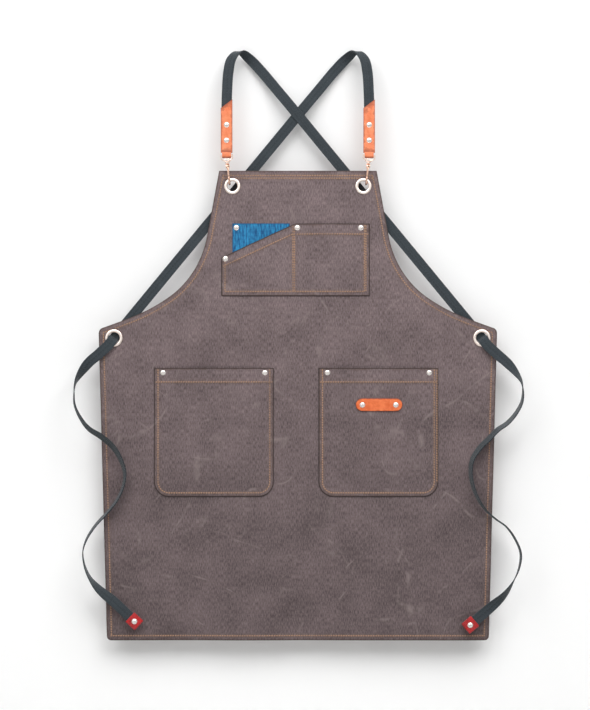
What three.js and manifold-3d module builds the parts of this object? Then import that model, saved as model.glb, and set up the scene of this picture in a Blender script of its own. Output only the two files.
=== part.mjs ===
// Cross-back work apron: a canvas panel that hangs by two snap hooks from shoulder webbing.
// Millimetres, +Z up, the front of the apron faces -Y, +X is the viewer's right.
import * as THREE from "three";
import { mergeVertices } from "three/addons/utils/BufferGeometryUtils.js";
import Module from "manifold-3d";

const wasm = await Module();
wasm.setup();

// ---------- driving dimensions ----------
const clearance = 0.3; // between pieces that lie on each other or pass through each other

const strapWidth = 18; // webbing
const strapThick = 1.8;
const loopTop = 209.3; // top of the shoulder loops above the bib's top edge

const panelThick = 2; // doubled waxed canvas with its hems
const panelLength = 817;
const bibHalf = 137; // half widths of the panel, from the bib down to the hem
const bibSideHalf = 159;
const bibSideDepth = 119;
const armholeHalf = 222;
const armholeDepth = 218;
const waistHalf = 346.5;
const waistDepth = 272.5;
const hemHalf = 332.5;
const cornerRadius = 9;

const eyeletSides = 24;
const eyeletRim = 3.2; // height of the domed front ring's section
const upperEyelet = { x: bibHalf - 23, depth: 27, outer: 14.25, hole: 8.75 };
const lowerEyelet = { x: waistHalf - 26.5, depth: waistDepth + 18.5, outer: 15.25, hole: 9.9 };
const eyeletBarrelWall = 0.8;
const eyeletLip = 3.4; // how far the back washer reaches past the barrel

const pocketCloth = 1.2;
const pocketCavity = 6; // how far a pocket's front stands off its back
const rivetInset = 15.5; // rivets sit this far in from a pocket's sides
const pouchInset = 24; // sewn margin at a pocket's riveted sides
const slantPouchInset = 14; // the same at the low end of the slanted mouth
const pouchFoot = 8; // sewn margin at a pocket's bottom
const divideHalf = 6; // half the sewn strip between the chest pocket's compartments
const middleRivetRoom = 5; // more of that strip on the right, under the middle rivet
const skirtPocket = { width: 208, height: 224, depth: 343, radius: 26 };
const leftPocketX = -146;
const rightPocketX = 140;
const chest = { left: -133, right: 125, top: 92, bottom: 218, slantDepth: 151, divide: -5 };
const liningInset = 19;
const liningWidth = 100;
const liningLength = 62;

const label = { width: 81, height: 22, thick: 2, x: 141, depth: 407, pitch: 58 };

const leatherThick = 1.8;
const tabWidth = 20;
const tabX = upperEyelet.x + 10;
const tabBottom = 22; // height of the fold above the bib's top edge
const tabShort = 109;
const tabLong = 124;
const tabRivets = [80, 53]; // heights above the bib's top edge

const tipWidth = 22;
const tipLength = 22;

const capRadius = 4.9; // rivets
const capHeight = 2.2;
const postRadius = 1.6;
const backRadius = 4;
const backHeight = 1;

const eyeBar = 2.4; // square wire of the swivel eye
const eyeInside = 17.4;
const foldSlack = 0.6; // room beside the leather for the leaning eye
const foldWidth = eyeInside - 2 * (clearance + foldSlack);
const collarRadius = 3.4;
const collarHeight = 3;
const collarTop = 15.5; // above the bib's top edge
const swivelRadius = 1.3;
const hookLean = 6; // degrees, towards the eyelet
const hookHalf = 8.6; // half the distance between the hook's two arms
const hookWire = 1.7;
const bossHalf = 3;
const bossTop = 11.6;
const bossBottom = 4.4;
const hookRunning = 0.85; // between the hook's bend and the eyelet's hole, so that the hook can swing
const tipRise = 3.6; // how far the hook's point rises past that centre
const slotHalf = 2;
const pinRadius = 0.7;
const gateThick = 3;
const springWire = 0.25;

// ---------- derived places ----------
const bibTop = strapThick - loopTop; // the loops' undersides are at z = 0
const panelFront = -panelThick / 2;
const panelBack = panelThick / 2;
const up = (height) => bibTop + height; // from a height above the bib's top edge
const down = (depth) => bibTop - depth;
const radians = THREE.MathUtils.degToRad;

// ---------- looks ----------
const material = (color, roughness, metalness = 0) =>
  new THREE.MeshStandardMaterial({ color, roughness, metalness });
const canvas = material(0x71625f, 0.9);
const webbing = material(0x3a4248, 0.85);
const orangeLeather = material(0xed7e4b, 0.5);
const redLeather = material(0xb4161c, 0.25);
const blueFelt = material(0x1f74a7, 0.95);
const roseGold = material(0xe8c4b0, 0.25, 1);
const darkSteel = material(0x3a3230, 0.35, 1);

const apron = new THREE.Group();

// ---------- helpers ----------
function solid(geometry) {
  const bare = geometry.clone();
  for (const name of Object.keys(bare.attributes)) if (name !== "position") bare.deleteAttribute(name);
  const merged = mergeVertices(bare, 1e-4);
  return new wasm.Manifold(
    new wasm.Mesh({
      numProp: 3,
      vertProperties: new Float32Array(merged.attributes.position.array),
      triVerts: new Uint32Array(merged.index.array),
    }),
  );
}

function geometryOf(body) {
  const mesh = body.getMesh();
  const geometry = new THREE.BufferGeometry();
  geometry.setAttribute("position", new THREE.BufferAttribute(new Float32Array(mesh.vertProperties), 3));
  geometry.setIndex(new THREE.BufferAttribute(new Uint32Array(mesh.triVerts), 1));
  return geometry;
}

function cut(geometry, ...cutters) {
  return geometryOf(cutters.reduce((body, cutter) => body.subtract(solid(cutter)), solid(geometry)));
}

function join(first, ...others) {
  return geometryOf(others.reduce((body, other) => body.add(solid(other)), solid(first)));
}

function add(name, geometry, look, parent = apron) {
  const mesh = new THREE.Mesh(geometry, look);
  mesh.name = name;
  parent.add(mesh);
  return mesh;
}

// A flat outline drawn in X and Z, made solid from y = back towards -Y.
function plate(shape, back, thick, curveSegments = 8) {
  const geometry = new THREE.ExtrudeGeometry(shape, { depth: thick, bevelEnabled: false, curveSegments });
  return geometry.rotateX(Math.PI / 2).translate(0, back, 0);
}

// An outline drawn in Y and Z, made solid across X.
function across(shape, width, curveSegments = 6) {
  const geometry = new THREE.ExtrudeGeometry(shape, { depth: width, bevelEnabled: false, curveSegments });
  const axes = [new THREE.Vector3(0, 1, 0), new THREE.Vector3(0, 0, 1), new THREE.Vector3(1, 0, 0)];
  return geometry.translate(0, 0, -width / 2).applyMatrix4(new THREE.Matrix4().makeBasis(...axes));
}

// A turned piece about the Y axis: profile points are [radius, y], in either order.
function turned(profile, x, z, segments = 14) {
  const points = profile.map(([radius, y]) => new THREE.Vector2(radius, y));
  if (THREE.ShapeUtils.area(points) < 0) points.reverse();
  return new THREE.LatheGeometry(points, segments).translate(x, 0, z);
}

// A round bar along Y, for drilling holes from y = -reach to reach.
function drill(radius, x, z, reach = 20, segments = 14) {
  return new THREE.CylinderGeometry(radius, radius, 2 * reach, segments).translate(x, 0, z);
}

function box(x0, x1, y0, y1, z0, z1) {
  return new THREE.BoxGeometry(x1 - x0, y1 - y0, z1 - z0).translate(
    (x0 + x1) / 2,
    (y0 + y1) / 2,
    (z0 + z1) / 2,
  );
}

// Flat webbing: a thin rectangle swept along the points, its width turned to the given directions.
function ribbon(points, widths, width, thick, steps) {
  const path = new THREE.CatmullRomCurve3(points, false, "centripetal");
  const facing = new THREE.CatmullRomCurve3(widths, false, "centripetal");
  const position = [];
  for (let i = 0; i <= steps; i++) {
    const centre = path.getPoint(i / steps);
    const along = path.getTangent(i / steps);
    const wide = facing.getPoint(i / steps);
    wide.addScaledVector(along, -wide.dot(along)).setLength(width / 2);
    const through = along.clone().cross(wide).setLength(thick / 2);
    for (const [a, b] of [[1, 1], [-1, 1], [-1, -1], [1, -1]]) {
      const corner = centre.clone().addScaledVector(wide, a).addScaledVector(through, b);
      position.push(corner.x, corner.y, corner.z);
    }
  }
  const index = [];
  for (let i = 0; i < steps; i++) {
    for (let k = 0; k < 4; k++) {
      const a = 4 * i + k;
      const b = 4 * i + ((k + 1) % 4);
      index.push(a, b, b + 4, a, b + 4, a + 4);
    }
  }
  const last = 4 * steps;
  index.push(0, 2, 1, 0, 3, 2, last, last + 1, last + 2, last, last + 2, last + 3);
  const geometry = new THREE.BufferGeometry();
  geometry.setAttribute("position", new THREE.Float32BufferAttribute(position, 3));
  geometry.setIndex(index);
  return geometry;
}

// ---------- rivets ----------
// Tubular rivet: the domed cap and its post are one piece, the back cap is pressed on.
function capProfile(seat, postEnd) {
  const profile = [[0, seat - capHeight]];
  for (let i = 1; i <= 3; i++) {
    const angle = (i / 3) * (Math.PI / 2);
    profile.push([capRadius * Math.sin(angle), seat - capHeight + (capHeight - 0.6) * (1 - Math.cos(angle))]);
  }
  profile.push([capRadius, seat], [postRadius, seat], [postRadius, postEnd], [0, postEnd]);
  return profile;
}

function rivet(name, x, z, front, back, parent = apron) {
  const seat = front - clearance / 2;
  const end = back + clearance + backHeight / 2;
  add(name, turned(capProfile(seat, end - clearance), x, z), roseGold, parent);
  const backCap = [
    [0, end],
    [postRadius + clearance, end],
    [postRadius + clearance, back + clearance],
    [backRadius, back + clearance],
    [backRadius, end + backHeight / 2],
    [backRadius - 1, end + backHeight],
    [0, end + backHeight],
  ];
  add(name + "_back", turned(backCap, x, z), roseGold, parent);
}

// A rivet whose two caps are set together on one post.
function doubleRivet(name, x, z, half, parent) {
  const seat = -half - clearance / 2;
  const front = capProfile(seat, 0).slice(0, -1);
  const back = front.map(([radius, y]) => [radius, -y]).reverse();
  add(name, turned([...front.slice(0, -1), ...back.slice(1)], x, z), roseGold, parent);
}

const rivetHole = (x, z) => drill(postRadius + clearance, x, z);

// ---------- panel ----------
function panelOutline() {
  const shape = new THREE.Shape();
  const z = (depth) => down(depth);
  shape.moveTo(-bibHalf, z(0));
  shape.lineTo(bibHalf, z(0));
  shape.lineTo(bibSideHalf, z(bibSideDepth));
  shape.bezierCurveTo(
    bibSideHalf + 11, z(bibSideDepth + 48),
    armholeHalf - 26, z(armholeDepth - 19),
    armholeHalf, z(armholeDepth),
  );
  shape.bezierCurveTo(
    armholeHalf + 38, z(armholeDepth + 27),
    waistHalf - 62, z(waistDepth - 19),
    waistHalf - cornerRadius, z(waistDepth),
  );
  shape.quadraticCurveTo(waistHalf, z(waistDepth + 2), waistHalf, z(waistDepth + 2 + cornerRadius));
  shape.lineTo(hemHalf, z(panelLength - cornerRadius));
  shape.quadraticCurveTo(hemHalf, z(panelLength), hemHalf - cornerRadius, z(panelLength));
  shape.lineTo(-hemHalf + cornerRadius, z(panelLength));
  shape.quadraticCurveTo(-hemHalf, z(panelLength), -hemHalf, z(panelLength - cornerRadius));
  shape.lineTo(-waistHalf, z(waistDepth + 2 + cornerRadius));
  shape.quadraticCurveTo(-waistHalf, z(waistDepth + 2), -waistHalf + cornerRadius, z(waistDepth));
  shape.bezierCurveTo(
    -waistHalf + 62, z(waistDepth - 19),
    -armholeHalf - 38, z(armholeDepth + 27),
    -armholeHalf, z(armholeDepth),
  );
  shape.bezierCurveTo(
    -armholeHalf + 26, z(armholeDepth - 19),
    -bibSideHalf - 11, z(bibSideDepth + 48),
    -bibSideHalf, z(bibSideDepth),
  );
  shape.closePath();
  return shape;
}

const sewnBack = panelFront - clearance;
const sewnFront = sewnBack - pocketCloth;
const pocketFront = sewnFront - pocketCavity;
const liningLeft = chest.left + liningInset;
const pocketX = { left: leftPocketX, right: rightPocketX };

// Rivets that go through the panel: name, x, depth below the bib's top edge, front face they sit on.
const panelRivets = [
  ["chest_rivet_left", chest.left + 7, chest.slantDepth + 2, sewnFront],
  ["chest_rivet_middle", chest.divide + 4, chest.top + 7, sewnFront],
  ["chest_rivet_right", chest.right - rivetInset, chest.top + 7, sewnFront],
  ["lining_rivet", liningLeft + 7, chest.top + 7, sewnFront],
  ...Object.entries(pocketX).flatMap(([side, x]) =>
    [-1, 1].map((end) => [
      side + "_pocket_rivet_" + (end < 0 ? "outer" : "inner"),
      x + end * (skirtPocket.width / 2 - rivetInset),
      skirtPocket.depth + 8,
      sewnFront,
    ]),
  ),
];
const labelFront = pocketFront - clearance - label.thick;
const labelRivets = [-1, 1].map((end) => [
  "label_rivet_" + (end < 0 ? "left" : "right"),
  label.x + (end * label.pitch) / 2,
  label.depth,
  labelFront,
]);

function makePanel() {
  const holes = [];
  for (const side of [-1, 1]) {
    for (const eyelet of [upperEyelet, lowerEyelet]) {
      const radius = eyelet.hole + eyeletBarrelWall + clearance;
      holes.push(drill(radius, side * eyelet.x, down(eyelet.depth), 20, eyeletSides));
    }
  }
  for (const [, x, depth] of panelRivets) holes.push(rivetHole(x, down(depth)));
  add("apron_panel", cut(plate(panelOutline(), panelBack, panelThick, 10), ...holes), canvas);
}

// ---------- eyelets ----------
// Front: rounded ring with its barrel through the cloth. Back: the washer that the barrel is set over.
function makeEyelet(name, side, { x, depth, outer, hole }) {
  const barrel = hole + eyeletBarrelWall;
  const seat = panelFront - clearance;
  const barrelEnd = panelBack + clearance + 0.8;
  const middle = (outer + hole) / 2;
  const front = [
    [hole, barrelEnd],
    [hole, seat - 0.8],
    [hole + 0.8, seat - 1.5],
    [middle, seat - 0.55 * eyeletRim],
    [outer - 1.4, seat - 1.3],
    [outer, seat - 0.4],
    [outer, seat],
    [barrel, seat],
    [barrel, barrelEnd],
    [hole, barrelEnd],
  ];
  add(name, turned(front, side * x, down(depth), eyeletSides), roseGold);
  const washerInner = barrel + clearance;
  const washerOuter = barrel + eyeletLip;
  const backSeat = panelBack + clearance;
  const washer = [
    [washerInner, backSeat],
    [washerOuter, backSeat],
    [washerOuter, backSeat + 0.6],
    [washerInner + 1, backSeat + 1.2],
    [washerInner, backSeat + 1.2],
    [washerInner, backSeat],
  ];
  add(name + "_washer", turned(washer, side * x, down(depth), eyeletSides), roseGold);
}

// ---------- pockets ----------
function roundedPocket(halfWidth, top, bottom, radius) {
  const shape = new THREE.Shape();
  shape.moveTo(-halfWidth, top);
  shape.lineTo(-halfWidth, bottom + radius);
  shape.absarc(-halfWidth + radius, bottom + radius, radius, Math.PI, 1.5 * Math.PI, false);
  shape.lineTo(halfWidth - radius, bottom);
  shape.absarc(halfWidth - radius, bottom + radius, radius, 1.5 * Math.PI, 2 * Math.PI, false);
  shape.lineTo(halfWidth, top);
  shape.closePath();
  return shape;
}

// Patch pocket: sewn flat to the panel round its sides and bottom, its middle standing off as a pouch.
function makeSkirtPocket(side) {
  const { width, height, depth, radius } = skirtPocket;
  const x = pocketX[side];
  const top = down(depth);
  const bottom = top - height;
  const pouchHalf = width / 2 - pouchInset;
  const pouchBottom = bottom + pouchFoot;
  const sewn = plate(roundedPocket(width / 2, top, bottom, radius), sewnBack, pocketCloth);
  const standing = roundedPocket(pouchHalf, top, pouchBottom, radius);
  const pouch = plate(standing, sewnBack, pocketCavity + pocketCloth);
  const inside = roundedPocket(
    pouchHalf - pocketCloth,
    top + 1,
    pouchBottom + pocketCloth,
    radius - pocketCloth,
  );
  const hollow = plate(inside, sewnBack + 1, pocketCavity + 1);
  const holes = panelRivets.concat(labelRivets).map(([, rx, rdepth]) => rivetHole(rx - x, down(rdepth)));
  add(side + "_pocket", cut(join(sewn, pouch), hollow, ...holes).translate(x, 0, 0), canvas);
}

// Chest pocket: a slant-mouthed pouch and a square one, with a sewn strip between them.
function makeChestPocket() {
  const slant = (x) => {
    const share = (x - chest.left) / (chest.divide - chest.left);
    return down(chest.slantDepth + share * (chest.top - chest.slantDepth));
  };
  const outline = (corners) => {
    const shape = new THREE.Shape();
    corners.forEach(([x, z], i) => (i === 0 ? shape.moveTo(x, z) : shape.lineTo(x, z)));
    shape.closePath();
    return shape;
  };
  const top = down(chest.top);
  const bottom = down(chest.bottom);
  const floor = bottom + pouchFoot;
  const left = [chest.left + slantPouchInset, chest.divide - divideHalf];
  const right = [chest.divide + divideHalf + middleRivetRoom, chest.right - pouchInset];
  const cloth = [
    [chest.left, slant(chest.left)],
    [chest.left, bottom],
    [chest.right, bottom],
    [chest.right, top],
    [chest.divide, top],
  ];
  const leftPouch = [[left[0], slant(left[0])], [left[0], floor], [left[1], floor], [left[1], slant(left[1])]];
  const rightPouch = [[right[0], top], [right[0], floor], [right[1], floor], [right[1], top]];
  const pouch = (corners) => plate(outline(corners), sewnBack, pocketCavity + pocketCloth);
  const hollow = ([x0, x1]) => {
    const inner = pocketCloth;
    return box(x0 + inner, x1 - inner, sewnBack - pocketCavity, sewnBack + 1, floor + inner, top + 1);
  };
  const holes = panelRivets.map(([, x, depth]) => rivetHole(x, down(depth)));
  const whole = join(plate(outline(cloth), sewnBack, pocketCloth), pouch(leftPouch), pouch(rightPouch));
  add("chest_pocket", cut(whole, hollow(left), hollow(right), ...holes), canvas);
}

// Coloured cloth behind the slanted mouth of the chest pocket.
function makeLining() {
  const shape = new THREE.Shape();
  const top = down(chest.top) + 0.5;
  shape.moveTo(liningLeft, top);
  shape.lineTo(liningLeft, top - liningLength);
  shape.lineTo(liningLeft + liningWidth, top - liningLength);
  shape.lineTo(liningLeft + liningWidth, top);
  shape.closePath();
  const holes = panelRivets.map(([, x, depth]) => rivetHole(x, down(depth)));
  add("pocket_lining", cut(plate(shape, sewnBack, pocketCloth), ...holes), blueFelt);
}

// ---------- label ----------
function makeLabel() {
  const halfHeight = label.height / 2;
  const halfLength = label.width / 2;
  const z = down(label.depth);
  const shape = new THREE.Shape();
  shape.absarc(label.x + halfLength - halfHeight, z, halfHeight, -Math.PI / 2, Math.PI / 2, false);
  shape.absarc(label.x - halfLength + halfHeight, z, halfHeight, Math.PI / 2, 1.5 * Math.PI, false);
  shape.closePath();
  const holes = labelRivets.map(([, x, depth]) => rivetHole(x, down(depth)));
  add("leather_label", cut(plate(shape, pocketFront - clearance, label.thick, 12), ...holes), orangeLeather);
}

// ---------- leather folded round a bar or a strap end ----------
// Drawn across Y and Z with its fold at the bottom, and extruded across the width.
function foldedLeather(width, halfGap, foldRadius, foldZ, topZ) {
  const outer = foldRadius + leatherThick;
  const shape = new THREE.Shape();
  const ease = foldZ + 4 + foldRadius; // where the layers come together above the fold
  shape.moveTo(-halfGap - leatherThick, topZ);
  shape.lineTo(-halfGap - leatherThick, ease);
  shape.lineTo(-outer, foldZ);
  shape.absarc(0, foldZ, outer, Math.PI, 2 * Math.PI, false);
  shape.lineTo(halfGap + leatherThick, ease);
  shape.lineTo(halfGap + leatherThick, topZ);
  shape.lineTo(halfGap, topZ);
  shape.lineTo(halfGap, ease);
  shape.lineTo(foldRadius, foldZ);
  shape.absarc(0, foldZ, foldRadius, 2 * Math.PI, Math.PI, true);
  shape.lineTo(-halfGap, ease);
  shape.lineTo(-halfGap, topZ);
  shape.closePath();
  return across(shape, width, 8);
}

const barTilt = Math.sin(radians(hookLean)) * (foldWidth / 2); // the leaning bar needs a taller fold
const barClear = (eyeBar / 2) * Math.SQRT2 + barTilt + clearance;
const barHeight = tabBottom + barClear + leatherThick; // centre of the eye's bar
const strapGap = strapThick / 2 + clearance;

// The hook's bottom bend hangs in the bib eyelet, under the upper edge of its hole.
const bendReach =
  tabX - upperEyelet.x - Math.sin(radians(hookLean)) * (barHeight + upperEyelet.depth - 3) + hookWire;
const holeEdge = Math.sqrt(upperEyelet.hole ** 2 - bendReach ** 2) - upperEyelet.depth;
const barrelHalf = 2.5;
const hookBend = holeEdge - hookRunning - hookWire + Math.sqrt(hookHalf ** 2 - barrelHalf ** 2);

function makeTab(name, side) {
  const tall = foldedLeather(tabWidth, strapGap, barClear, up(barHeight), up(tabLong + 6));
  // the top is cut on a slant that rises to the right, and the fold is notched for the eye's sides
  const slope = Math.atan2(tabLong - tabShort, tabWidth);
  const slant = new THREE.BoxGeometry(120, 40, 60)
    .translate(0, 0, 30)
    .rotateY(-slope)
    .translate(0, 0, up((tabLong + tabShort) / 2));
  const notch = (end) => {
    const from = (end * foldWidth) / 2;
    const to = end * tabWidth;
    const top = up(barHeight) + barClear + 2;
    return box(Math.min(from, to), Math.max(from, to), -20, 20, up(tabBottom) - 5, top);
  };
  const holes = tabRivets.map((height) => rivetHole(0, up(height)));
  const geometry = cut(tall, slant, notch(-1), notch(1), ...holes).translate(side * tabX, 0, 0);
  add(name, geometry, orangeLeather);
}

// ---------- snap hook ----------
// Each hook hangs in its own group, leaning towards its eyelet about the eye's bar.
function makeHook(side) {
  const name = side < 0 ? "left_" : "right_";
  const group = new THREE.Group();
  group.position.set(side * tabX, 0, up(barHeight));
  group.rotation.y = radians(side * hookLean);
  apron.add(group);
  const h = (height) => height - barHeight; // heights above the bib's top edge, in the group's frame

  // eye: a frame round the leather's fold that tapers as a plate down to the swivel collar
  const halfTop = eyeInside / 2 + eyeBar;
  const foldRoom = h(tabBottom) - barTilt - clearance - 0.2;
  const outline = new THREE.Shape();
  outline.moveTo(-halfTop, eyeBar / 2);
  outline.lineTo(-halfTop, -5.2);
  outline.lineTo(-collarRadius, h(collarTop - 1));
  outline.lineTo(collarRadius, h(collarTop - 1));
  outline.lineTo(halfTop, -5.2);
  outline.lineTo(halfTop, eyeBar / 2);
  outline.closePath();
  const opening = new THREE.Path();
  opening.moveTo(-eyeInside / 2, -eyeBar / 2);
  opening.lineTo(eyeInside / 2, -eyeBar / 2);
  opening.lineTo(eyeInside / 2, foldRoom);
  opening.lineTo(-eyeInside / 2, foldRoom);
  opening.closePath();
  outline.holes.push(opening);
  const collar = new THREE.CylinderGeometry(collarRadius, collarRadius, collarHeight, 20)
    .rotateX(Math.PI / 2)
    .translate(0, 0, h(collarTop - collarHeight / 2));
  const swivelHole = new THREE.CylinderGeometry(swivelRadius + clearance, swivelRadius + clearance, 20, 16)
    .rotateX(Math.PI / 2)
    .translate(0, 0, h(collarTop - 1));
  const frame = plate(outline, eyeBar / 2, eyeBar);
  const headRoom = new THREE.CylinderGeometry(2.9, 2.9, 3, 16)
    .rotateX(Math.PI / 2)
    .translate(0, 0, h(collarTop) + 1.5 + 0.001);
  add(name + "hook_eye", cut(join(frame, collar), swivelHole, headRoom), roseGold, group);

  // hook: swivel head and post, boss, back arm, bottom bend through the eyelet, point
  const headTop = collarTop + clearance + 1.2;
  const post = new THREE.LatheGeometry(
    [
      [0, h(bossTop - 1)],
      [swivelRadius, h(bossTop - 1)],
      [swivelRadius, h(collarTop + clearance)],
      [2.4, h(collarTop + clearance)],
      [2.4, h(headTop - 0.5)],
      [1.8, h(headTop)],
      [0, h(headTop)],
    ].map(([radius, y]) => new THREE.Vector2(radius, y)),
    16,
  ).rotateX(Math.PI / 2);
  const boss = new THREE.Shape();
  boss.moveTo(-hookHalf - 1.6, h(bossBottom));
  boss.lineTo(-hookHalf - 1.6, h(bossTop - 3.4));
  boss.quadraticCurveTo(-hookHalf - 1, h(bossTop), -3, h(bossTop));
  boss.lineTo(3, h(bossTop));
  boss.quadraticCurveTo(hookHalf + hookWire, h(bossTop), hookHalf + hookWire, h(bossBottom));
  boss.closePath();
  const bossSolid = across(boss, 2 * bossHalf);
  const wirePath = [
    new THREE.Vector3(0, hookHalf, h(bossBottom + 1)),
    new THREE.Vector3(0, hookHalf, h(hookBend + 8)),
    new THREE.Vector3(0, hookHalf, h(hookBend)),
  ];
  for (let i = 1; i <= 6; i++) {
    const angle = (i / 6) * Math.PI;
    wirePath.push(
      new THREE.Vector3(0, hookHalf * Math.cos(angle), h(hookBend) - hookHalf * Math.sin(angle)),
    );
  }
  wirePath.push(new THREE.Vector3(0, -hookHalf, h(hookBend + tipRise)));
  const section = new THREE.Shape();
  section.absarc(0, 0, hookWire, 0, 2 * Math.PI, false);
  const wire = new THREE.ExtrudeGeometry(section, {
    steps: 26,
    curveSegments: 6,
    bevelEnabled: false,
    extrudePath: new THREE.CatmullRomCurve3(wirePath, false, "centripetal"),
  });
  const slot = box(-slotHalf, slotHalf, -20, -1.6, h(bossBottom - 1), h(bossTop - 1.2));
  const pinY = -hookHalf + 1.4;
  const pinZ = h(bossBottom + 3.4);
  const pinHole = new THREE.CylinderGeometry(pinRadius + clearance, pinRadius + clearance, 20, 12)
    .rotateZ(Math.PI / 2)
    .translate(0, pinY, pinZ);
  add(name + "hook", cut(join(bossSolid, wire, post), slot, pinHole), roseGold, group);

  // gate: a lever hung on a pin in the boss, closing the hook's mouth
  const gateBottom = h(hookBend + tipRise + clearance);
  const lever = new THREE.Shape();
  lever.moveTo(-hookHalf - 1.5, pinZ);
  lever.lineTo(-hookHalf - 1.5, gateBottom + 3);
  lever.lineTo(-hookHalf - 1.2, gateBottom);
  lever.lineTo(-hookHalf + 1.5, gateBottom);
  lever.lineTo(-hookHalf + 1.5, pinZ - 4);
  lever.lineTo(pinY + 1.9, pinZ - 1);
  lever.absarc(pinY, pinZ, 2.1, 0, Math.PI, false);
  lever.closePath();
  const springRoom = box(0, 5, pinY - 5, pinY + 5, pinZ - 2.4, pinZ + 5);
  const gate = cut(across(lever, gateThick), pinHole, springRoom);
  add(name + "hook_gate", gate, roseGold, group);

  const pin = new THREE.CylinderGeometry(pinRadius, pinRadius, 2 * bossHalf, 12)
    .rotateZ(Math.PI / 2)
    .translate(0, pinY, pinZ);
  add(name + "gate_pin", pin, darkSteel, group);

  // torsion spring round the pin, beside the gate's knuckle
  const turns = 2.5;
  const coilRadius = pinRadius + clearance + springWire;
  const coil = [];
  for (let i = 0; i <= 20; i++) {
    const angle = (i / 20) * turns * 2 * Math.PI;
    coil.push(
      new THREE.Vector3(
        0.45 + (i / 20) * 1.2,
        pinY + coilRadius * Math.cos(angle),
        pinZ + coilRadius * Math.sin(angle),
      ),
    );
  }
  const springSection = new THREE.Shape();
  springSection.absarc(0, 0, springWire, 0, 2 * Math.PI, false);
  const spring = new THREE.ExtrudeGeometry(springSection, {
    steps: 40,
    curveSegments: 3,
    bevelEnabled: false,
    extrudePath: new THREE.CatmullRomCurve3(coil),
  });
  add(name + "gate_spring", spring, darkSteel, group);
}

// ---------- straps ----------
const vector = (x, y, z) => new THREE.Vector3(x, y, z);
const slope = 1.217; // how steeply the back straps run: down per across
const downhill = vector(1, 0, -slope).normalize();
const eyeletPoint = (side) => vector(side * lowerEyelet.x, 0, down(lowerEyelet.depth));
const diagonalWidth = vector(slope, 0, 1).normalize();
const behindPanel = panelBack + clearance + 1.2 + clearance + strapThick / 2;

// Where a shoulder strap meets its tail, just in front of the eyelet, and how it leans through the hole.
const meeting = eyeletPoint(1).addScaledVector(downhill, 2.2).setY(panelFront - 1.6);
const through = downhill.clone().multiplyScalar(0.5).setY(-0.86).normalize();
const meetingPoint = (along) => meeting.clone().addScaledVector(through, along);

// The strap from one tab goes up, back over the shoulder and down to the opposite lower eyelet.
function makeShoulderStrap(name, side, lap) {
  const hole = eyeletPoint(1);
  const crossing = hole.x / downhill.x; // how far up the straps cross each other
  const back = (along, y) => hole.clone().addScaledVector(downhill, -along).setY(y);
  const points = [
    vector(-tabX, 0, up(barHeight + barClear + 2)),
    vector(-tabX, 0, up(70)),
    vector(-tabX, 0, up(112)),
    vector(-tabX + 0.8, 0.6, up(140)),
    vector(-tabX + 3, 2.5, up(172)),
    vector(-115.5, 7, up(196)),
    vector(-102, 17, up(loopTop - strapThick / 2)),
    vector(-86, 26, up(199)),
    back(crossing + 102, 27),
    back(crossing + 56, 21 + lap),
    back(crossing + 28, 16 + lap),
    back(crossing, 15 + lap),
    back(crossing - 28, 15 + lap),
    back(crossing * 0.853, 15),
    back(crossing * 0.685, 13),
    back(crossing * 0.496, 9),
    back(crossing * 0.298, 5.5),
    back(60, behindPanel),
    back(30, behindPanel),
    back(10, behindPanel + 0.5),
    meetingPoint(-6),
    meetingPoint(-2.7),
    meetingPoint(-clearance / 2),
  ];
  const front = vector(-1, 0, 0);
  const diagonal = diagonalWidth.clone().negate();
  // level across the front, turning as the webbing goes over the shoulder, square to the run behind
  const turning = [vector(-0.95, 0.3, 0), vector(-0.85, 0.53, 0), vector(-0.85, 0.3, -0.4)];
  const rising = 5; // points before the turn
  const widths = points.map((_, i) => (i < rising ? front : turning[i - rising] ?? diagonal));
  const shape = ribbon(points, widths, strapWidth, strapThick, 76);
  const holes = tabRivets.map((height) => rivetHole(-tabX, up(height)));
  const geometry = cut(shape, ...holes);
  add(name, side < 0 ? geometry : mirrored(geometry), webbing);
}

function mirrored(geometry) {
  const flipped = geometry.clone().scale(-1, 1, 1);
  const index = flipped.index.array;
  for (let i = 0; i < index.length; i += 3) [index[i + 1], index[i + 2]] = [index[i + 2], index[i + 1]];
  return flipped;
}

// Free tails. Their points are chosen by hand: x and height from the eyelet, y in front of the panel,
// and how far the webbing is turned edge-on, in degrees.
const tails = {
  left: [
    [-9, -12, -6.5, 0], [-26, -28, -9, 5], [-44, -44, -11, 20], [-60, -66, -12, 62], [-66.5, -80, -12, 88],
    [-68.5, -98, -12, 98], [-67, -117, -12, 103], [-57, -139, -12, 110], [-43, -157, -12, 118],
    [-20, -172, -12, 124], [0, -190, -13, 122], [13, -212, -13, 116], [19.5, -234, -13, 110],
    [16.5, -258, -13, 106], [6, -281, -13, 106], [-12, -304, -12, 107], [-31, -325, -12, 110],
    [-46, -348, -12, 108], [-53, -370, -12, 101], [-50, -395, -12, 92], [-41, -416, -12, 76],
    [-25, -436, -12, 45], [0, -457, -12, 12],
  ],
  right: [
    [9, -12, -6.5, 0], [27, -29, -9, 5], [44, -44, -11, 20], [58, -60, -12, 50], [68, -76, -12, 76],
    [70.5, -92, -12, 90], [68.5, -111, -12, 100], [58, -131, -12, 108], [43, -148, -12, 116],
    [27, -159, -12, 122], [11, -175, -13, 124], [-5, -191, -13, 120], [-17, -210, -13, 112],
    [-20.5, -231, -13, 108], [-17, -255, -13, 106], [-8, -278, -13, 106], [6, -299, -12, 108],
    [23, -314, -12, 110], [42, -328, -12, 112], [58, -351, -12, 108], [66.5, -374, -12, 100],
    [64, -398, -12, 91], [54, -422, -12, 76], [38, -446, -12, 45], [15, -467, -12, 12],
  ],
};
const tailEnds = { left: [24, -479.5], right: [-8, -486.5] }; // where the straight end of each tail begins
const straightEnd = 25; // the part of a tail that its leather tip holds flat

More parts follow.
